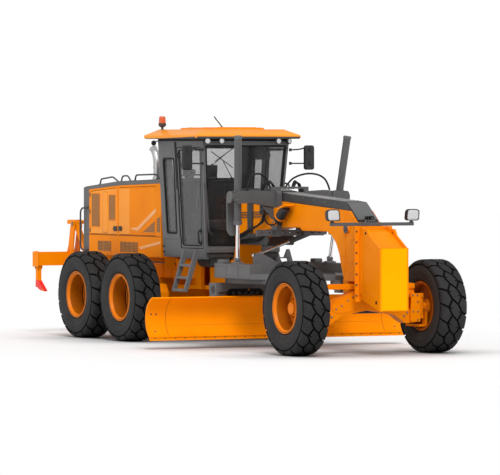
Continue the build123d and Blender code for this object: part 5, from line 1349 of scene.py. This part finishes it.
    # lower crease in the paler orange: painted highlight
    sh.mat("crease_highlight")
    lc = [(10, 1420), (770, 1524), (770, 1478), (80, 1380)]
    sh.loops([[(x, s * (Y - 1), z) for x, z in lc], [(x, s * (Y + 5), z) for x, z in inset(lc, 5)]])
    sh.mat("orange")
    sh.prism("y", rounded([(-1770, 1275), (790, 1275), (790, 1300), (-1770, 1300)], 6, 2), s * (Y + 2), 6)
    sh.prism("y", rounded([(-735, 1300), (-713, 1300), (-713, 2366), (-735, 2364)], 4, 2), s * (Y + 1.5), 4)
    tr2 = [(636, 1648), (786, 1648), (786, 1918), (636, 1870)]
    framed(sh, tr2, ("orange", "grille"), 12, 14)
    sh.mat("bolt")
    for x in (-1700, -1100, -800, -300, 200, 700):
        sh.hexa((x, s * (Y + 4), 1287), (0, s, 0), 9, 8)
    sh.object(f"hood_panel_{side}", "rear_body", bevel=1.2, slot="orange_paint")
    # top rails and the rear grab handle
    sh = Shape().mat("grey_dark")
    for run in (((-1581, 2371), (-1551, 2466), (-1113, 2503), (-896, 2422)), ((-813, 2438), (-769, 2517), (-572, 2524), (-472, 2451)), ((-322, 2465), (-287, 2535), (417, 2549), (557, 2492))):
        pts = [(x, s * 500, z) for x, z in run]
        pts[0] = (run[0][0], s * 500, hood_top(run[0][0]) + 60)
        pts[-1] = (run[-1][0], s * 500, hood_top(run[-1][0]) + 62)
        sh.tube(pts, 13, 12, 55)
        for x, z in (run[0], run[-1]):
            sh.rod((x, s * 500, hood_top(x) + 62), (x, s * 500, hood_top(x) + 78), 26, 18, chamfer=3)
    sh.tube([(-1815, s * 594, 1336), (-1818, s * 642, 1338), (-1940, s * 650, 1342), (-1996, s * 650, 1400), (-1996, s * 650, 1950), (-1940, s * 650, 2004), (-1818, s * 642, 2010), (-1815, s * 594, 2012)], 14, 14, 46)
    for hz in (1336, 2012):
        sh.rod((-1815, s * 598, hz), (-1815, s * 606, hz), 26, 18, chamfer=2)
    sh.object(f"hood_rails_{side}", "rear_body", slot="grey_paint")
# cowl: rear grille, lamps, top vent, filler caps
sh = Shape().mat("grey_dark")
ring = rounded([(-470, 1380), (470, 1380), (470, 2180), (-470, 2180)], 40, 5)
inner = inset(ring, 26)
q = lambda p, o2: (-1985 - o2, p[0], p[1])
sh.loops([[q(p, 6) for p in ring], [q(p, 6) for p in inner], [q(p, 0) for p in inner], [q(p, -3) for p in ring]], wrap=True)
for i in range(26):
    z = 1415 + i * 29
    sh.loops([[(-1986, y, z - 8), (-1994, y, z - 4), (-1994, y, z + 2), (-1986, y, z + 10)] for y in (-446, 446)])
for s in (-1, 1):
    sh.mat("plastic").prism("x", rounded([(s * 500, 2205), (s * 585, 2205), (s * 585, 2280), (s * 500, 2280)], 12), -1992, 16)
    sh.mat("beacon").prism("x", rounded([(s * 506, 2211), (s * 579, 2211), (s * 579, 2274), (s * 506, 2274)], 10), -2001, 6)
sh.object("cowl_grille", "rear_body", bevel=1.2)
sh = Shape().mat("grey_dark")
for x0, x1 in ((-1700, -1000), (-380, 500)):
    for i in range(8):
        x = x0 + (i + 0.5) * (x1 - x0) / 8
        z = hood_top(x) + 68
        sh.prism("z", rounded([(x - 26, -330), (x + 26, -330), (x + 26, 330), (x - 26, 330)], 12), z + 3, 10)
sh.mat("plastic").turn((300, -380, hood_top(300) + 68), (0, 0, 1), [(0, 60), (20, 60), (26, 54), (30, 0)], 30)
sh.mat("stack").turn((-560, 0, 2445), (0, 0, 1), [(0, 110), (10, 104), (14, 72), (60, 68), (60, 60)], 40)
sh.mat("grey_dark").turn((-100, 330, hood_top(-100) + 66), (0, 0, 1), [(0, 70), (60, 70), (90, 100), (150, 104), (172, 92), (180, 40), (180, 0)], 40)
sh.object("hood_top_parts", "rear_body", bevel=1.5)
# exhaust: rolled lip, clamp
sh = Shape().mat("stack")
d = Vector((-100, 0, 90)).normalized()
sh.turn(Vector((-700, 0, 2950)) - d * 14, d, [(0, 58.5), (4, 62), (12, 62), (16, 58), (16, 52), (-2, 51), (-40, 50)], 40)
sh.turn((-560, 0, 2640), (0, 0, 1), [(0, 60), (4, 63), (30, 63), (34, 60)], 40)
sh.object("stack_lip", "rear_body", slot="chrome")
# engine details seen through open doors
sh = Shape().mat("iron")
for s in (-1, 1):
    for i in range(6):
        x = -1100 + i * 190
        sh.prism("y", rounded([(x - 70, 1980), (x + 70, 1980), (x + 70, 2120), (x - 70, 2120)], 20), s * 392, 30)
        sh.tube([(x, s * 380, 1900), (x, s * 450, 1880), (x + 40, s * 460, 1760), (x + 60, s * 460, 1700)], 30, 14, 60)
    sh.rod((-1180, s * 460, 1700), (80, s * 460, 1700), 46, 24, chamfer=10)
    sh.prism("y", rounded([(-1250, 1320), (100, 1320), (100, 1620), (-1250, 1620)], 30), s * 390, 26)
    sh.rod((-900, s * 410, 1480), (-900, s * 480, 1480), 70, 30, chamfer=8)
    sh.mat("plastic").rod((-500, s * 470, 1340), (-500, s * 470, 1560), 52, 28, chamfer=8)
    sh.rod((-340, s * 470, 1340), (-340, s * 470, 1560), 52, 28, chamfer=8)
    sh.mat("hose").tube([(-200, s * 400, 1500), (-60, s * 470, 1560), (80, s * 470, 1800), (200, s * 400, 1950)], 24, 14, 90)
    sh.mat("iron")
sh.prism("x", rounded([(-400, 1500), (400, 1500), (400, 2200), (-400, 2200)], 60), -1420, 60)
sh.turn((-1460, 0, 1850), (-1, 0, 0), [(0, 330), (20, 330), (26, 300)], 40)
for a in range(8):
    t = a * math.pi / 4
    sh.mat("plastic").rod((-1500, 60 * math.cos(t), 1850 + 60 * math.sin(t)), (-1520, 300 * math.cos(t), 1850 + 300 * math.sin(t)), 30, 8, 50)
sh.object("engine_parts", "rear_body", bevel=2, slot="engine_iron")
# rear frame, tandem case covers, hitch bolts
sh = Shape().mat("orange")
for s in (-1, 1):
    cov = rounded([(-640, 560), (640, 560), (700, 660), (640, 800), (-640, 800), (-700, 660)], 60)
    sh.prism("y", cov, s * 853, 8)
    for x in (-600, -360, -120, 120, 360, 600):
        for z in (590, 772):
            sh.mat("bolt").hexa((x, s * 856, z), (0, s, 0), 11, 10)
    sh.mat("orange")
    for xw in (-770, 770):
        sh.turn((xw, s * 850, 674), (0, s, 0), [(0, 168), (10, 166), (16, 152), (16, 150)], 48)
    for x in (-1700, -1250, -700, 500, 780):
        sh.prism("y", rounded([(x - 12, 975), (x + 12, 975), (x + 12, 1250), (x - 12, 1250)], 4, 2), s * 424, 14)
    sh.mat("bolt")
    for x, z in ((930, 900), (930, 1000), (930, 1100), (930, 1200), (1040, 900), (1040, 1100)):
        sh.hexa((x, s * 221, z), (0, s, 0), 12, 11)
    sh.mat("steel").tube([(950, s * 428, 1180), (600, s * 428, 1190), (-200, s * 428, 1185), (-1200, s * 428, 1190)], 10, 10, 60)
    sh.mat("orange").prism("x", rounded([(s * 430, 1275), (s * 596, 1275), (s * 596, 1140), (s * 520, 1100), (s * 430, 1100)], 20), 930, 16)
sh.object("rear_details", "rear_body", bevel=2, slot="orange_paint")
# hitch pin caps
sh = Shape().mat("bolt")
for z, d in ((1240, 1), (800, -1)):
    sh.turn((1600, 0, z), (0, 0, d), [(0, 90), (8, 90), (12, 78), (12, 0)], 40)
    for a in range(6):
        t = a * math.pi / 3
        sh.hexa((1600 + 62 * math.cos(t), 62 * math.sin(t), z + 12 * d), (0, 0, d), 11, 10)
sh.mat("hose")
sh.object("hitch_caps", "rear_body", bevel=1.5)

# ---- ripper -----------------------------------------------------------------------------------------------------
sh = Shape().mat("orange")
for s in (-1, 1):
    sh.prism("y", rounded([(-2728, 1060), (-2520, 1060), (-2512, 1310), (-2560, 1316), (-2728, 1300)], 12), s * 1150, 8)
    for z in (1095, 1780):
        for y in (421, 579):
            sh.mat("bolt").turn((-2460, s * y, z - (35 if z > 1700 else 0)), (0, 1 if y > 500 else -1, 0) if s > 0 else (0, -1 if y > 500 else 1, 0), [(0, 30), (6, 30), (9, 22), (9, 0)], 24)
    sh.mat("orange")
for y in (-1095, 0, 1095):
    sh.prism("z", rounded([(-2676, y - 48), (-2574, y - 48), (-2574, y + 48), (-2676, y + 48)], 10), 1052, 56)
    sh.mat("bolt").hexa((-2625, y - 50, 1052), (0, -1, 0), 13, 12)
    sh.mat("bolt").hexa((-2625, y + 50, 1052), (0, 1, 0), 13, 12)
    sh.mat("orange")
for x in (-2700, -2550):
    sh.prism("y", [(x - 3, 1290), (x + 3, 1290), (x + 3, 1296), (x - 3, 1296)], 0, 2240)
sh.object("ripper_details", "ripper_frame", bevel=2, slot="orange_paint")
sh = Shape().mat("red")
for y in (-1095, 0, 1095):
    rows = []
    for x, zt, zb, hw in ((-2672, 862, 738, 36), (-2600, 866, 733, 37), (-2545, 826, 706, 37), (-2480, 780, 688, 37), (-2420, 742, 680, 34), (-2352, 700, 672, 26)):
        rows.append([(x, y - hw, zb), (x, y + hw, zb), (x, y + hw * 0.86, zt), (x, y - hw * 0.86, zt)])
    sh.loops(rows)
sh.object("ripper_tips", "ripper_frame", bevel=5, slot="wear_steel")

# ---- studio: pale floor that melts into a white surround, soft light -------------------------------------------------
me = bpy.data.meshes.new("studio_floor")
bm = bmesh.new()
bmesh.ops.create_grid(bm, x_segments=40, y_segments=40, size=120)
bm.to_mesh(me); bm.free()
floor = bpy.data.objects.new("studio_floor", me)
floor.location = (0, 0, -0.0005)
bpy.context.scene.collection.objects.link(floor)
m, n, l, b = new_mat("studio_floor")
geo = n.new("ShaderNodeNewGeometry")
ln = n.new("ShaderNodeVectorMath"); ln.operation = "LENGTH"; l.new(geo.outputs["Position"], ln.inputs[0])
mr = n.new("ShaderNodeMapRange"); mr.interpolation_type = "SMOOTHSTEP"
mr.inputs["From Min"].default_value, mr.inputs["From Max"].default_value = 4.5, 12.0
l.new(ln.outputs["Value"], mr.inputs["Value"])
# painted contact shadow: ambient occlusion darkens the floor close to the machine
near = n.new("ShaderNodeAmbientOcclusion"); near.samples, near.inputs["Distance"].default_value = 12, 1.5
pale = ramp(n, l, noise_of(n, l, 3.0, 3), [(0.3, (0.93, 0.93, 0.932)), (0.7, (0.96, 0.96, 0.961))])
l.new(mix(n, l, 0.9, pale, ramp(n, l, near.outputs["AO"], [(0.0, (0.06, 0.062, 0.065)), (0.55, (0.52, 0.525, 0.53)), (0.97, (1, 1, 1))]), "MULTIPLY"), b.inputs["Base Color"])
b.inputs["Roughness"].default_value, b.inputs["Specular IOR Level"].default_value = 0.75, 0.15
em = n.new("ShaderNodeEmission"); em.inputs["Color"].default_value = (1, 1, 1, 1); em.inputs["Strength"].default_value = 1.0
ms = n.new("ShaderNodeMixShader")
l.new(mr.outputs["Result"], ms.inputs[0]); l.new(b.outputs[0], ms.inputs[1]); l.new(em.outputs[0], ms.inputs[2])
l.new(ms.outputs[0], n["Material Output"].inputs["Surface"])
me.materials.append(m)

world = bpy.data.worlds.new("studio")
bpy.context.scene.world = world
world.use_nodes = True
wn, wl = world.node_tree.nodes, world.node_tree.links
bg = wn["Background"]
bg.inputs["Color"].default_value = (1, 1, 1, 1)
bg.inputs["Strength"].default_value = 0.62
bg2 = wn.new("ShaderNodeBackground"); bg2.inputs["Color"].default_value = (1, 1, 1, 1); bg2.inputs["Strength"].default_value = 1.02
lp = wn.new("ShaderNodeLightPath"); mx = wn.new("ShaderNodeMixShader")
wl.new(lp.outputs["Is Camera Ray"], mx.inputs[0]); wl.new(bg.outputs[0], mx.inputs[1]); wl.new(bg2.outputs[0], mx.inputs[2])
wl.new(mx.outputs[0], wn["World Output"].inputs["Surface"])


def sun(name, direction, strength, angle, colour=(1, 1, 1)):
    d = bpy.data.lights.new(name, "SUN")
    d.energy, d.angle, d.color = strength, math.radians(angle), colour
    o = bpy.data.objects.new(name, d)
    bpy.context.scene.collection.objects.link(o)
    o.rotation_euler = Vector(direction).to_track_quat("-Z", "Y").to_euler()


sun("key", (-0.66, 0.24, -0.72), 1.95, 26)
sun("fill", (-0.2, 0.85, -0.45), 0.30, 60)
vs = bpy.context.scene.view_settings
vs.view_transform, vs.look, vs.exposure, vs.gamma = "Standard", "None", 0.0, 1.0
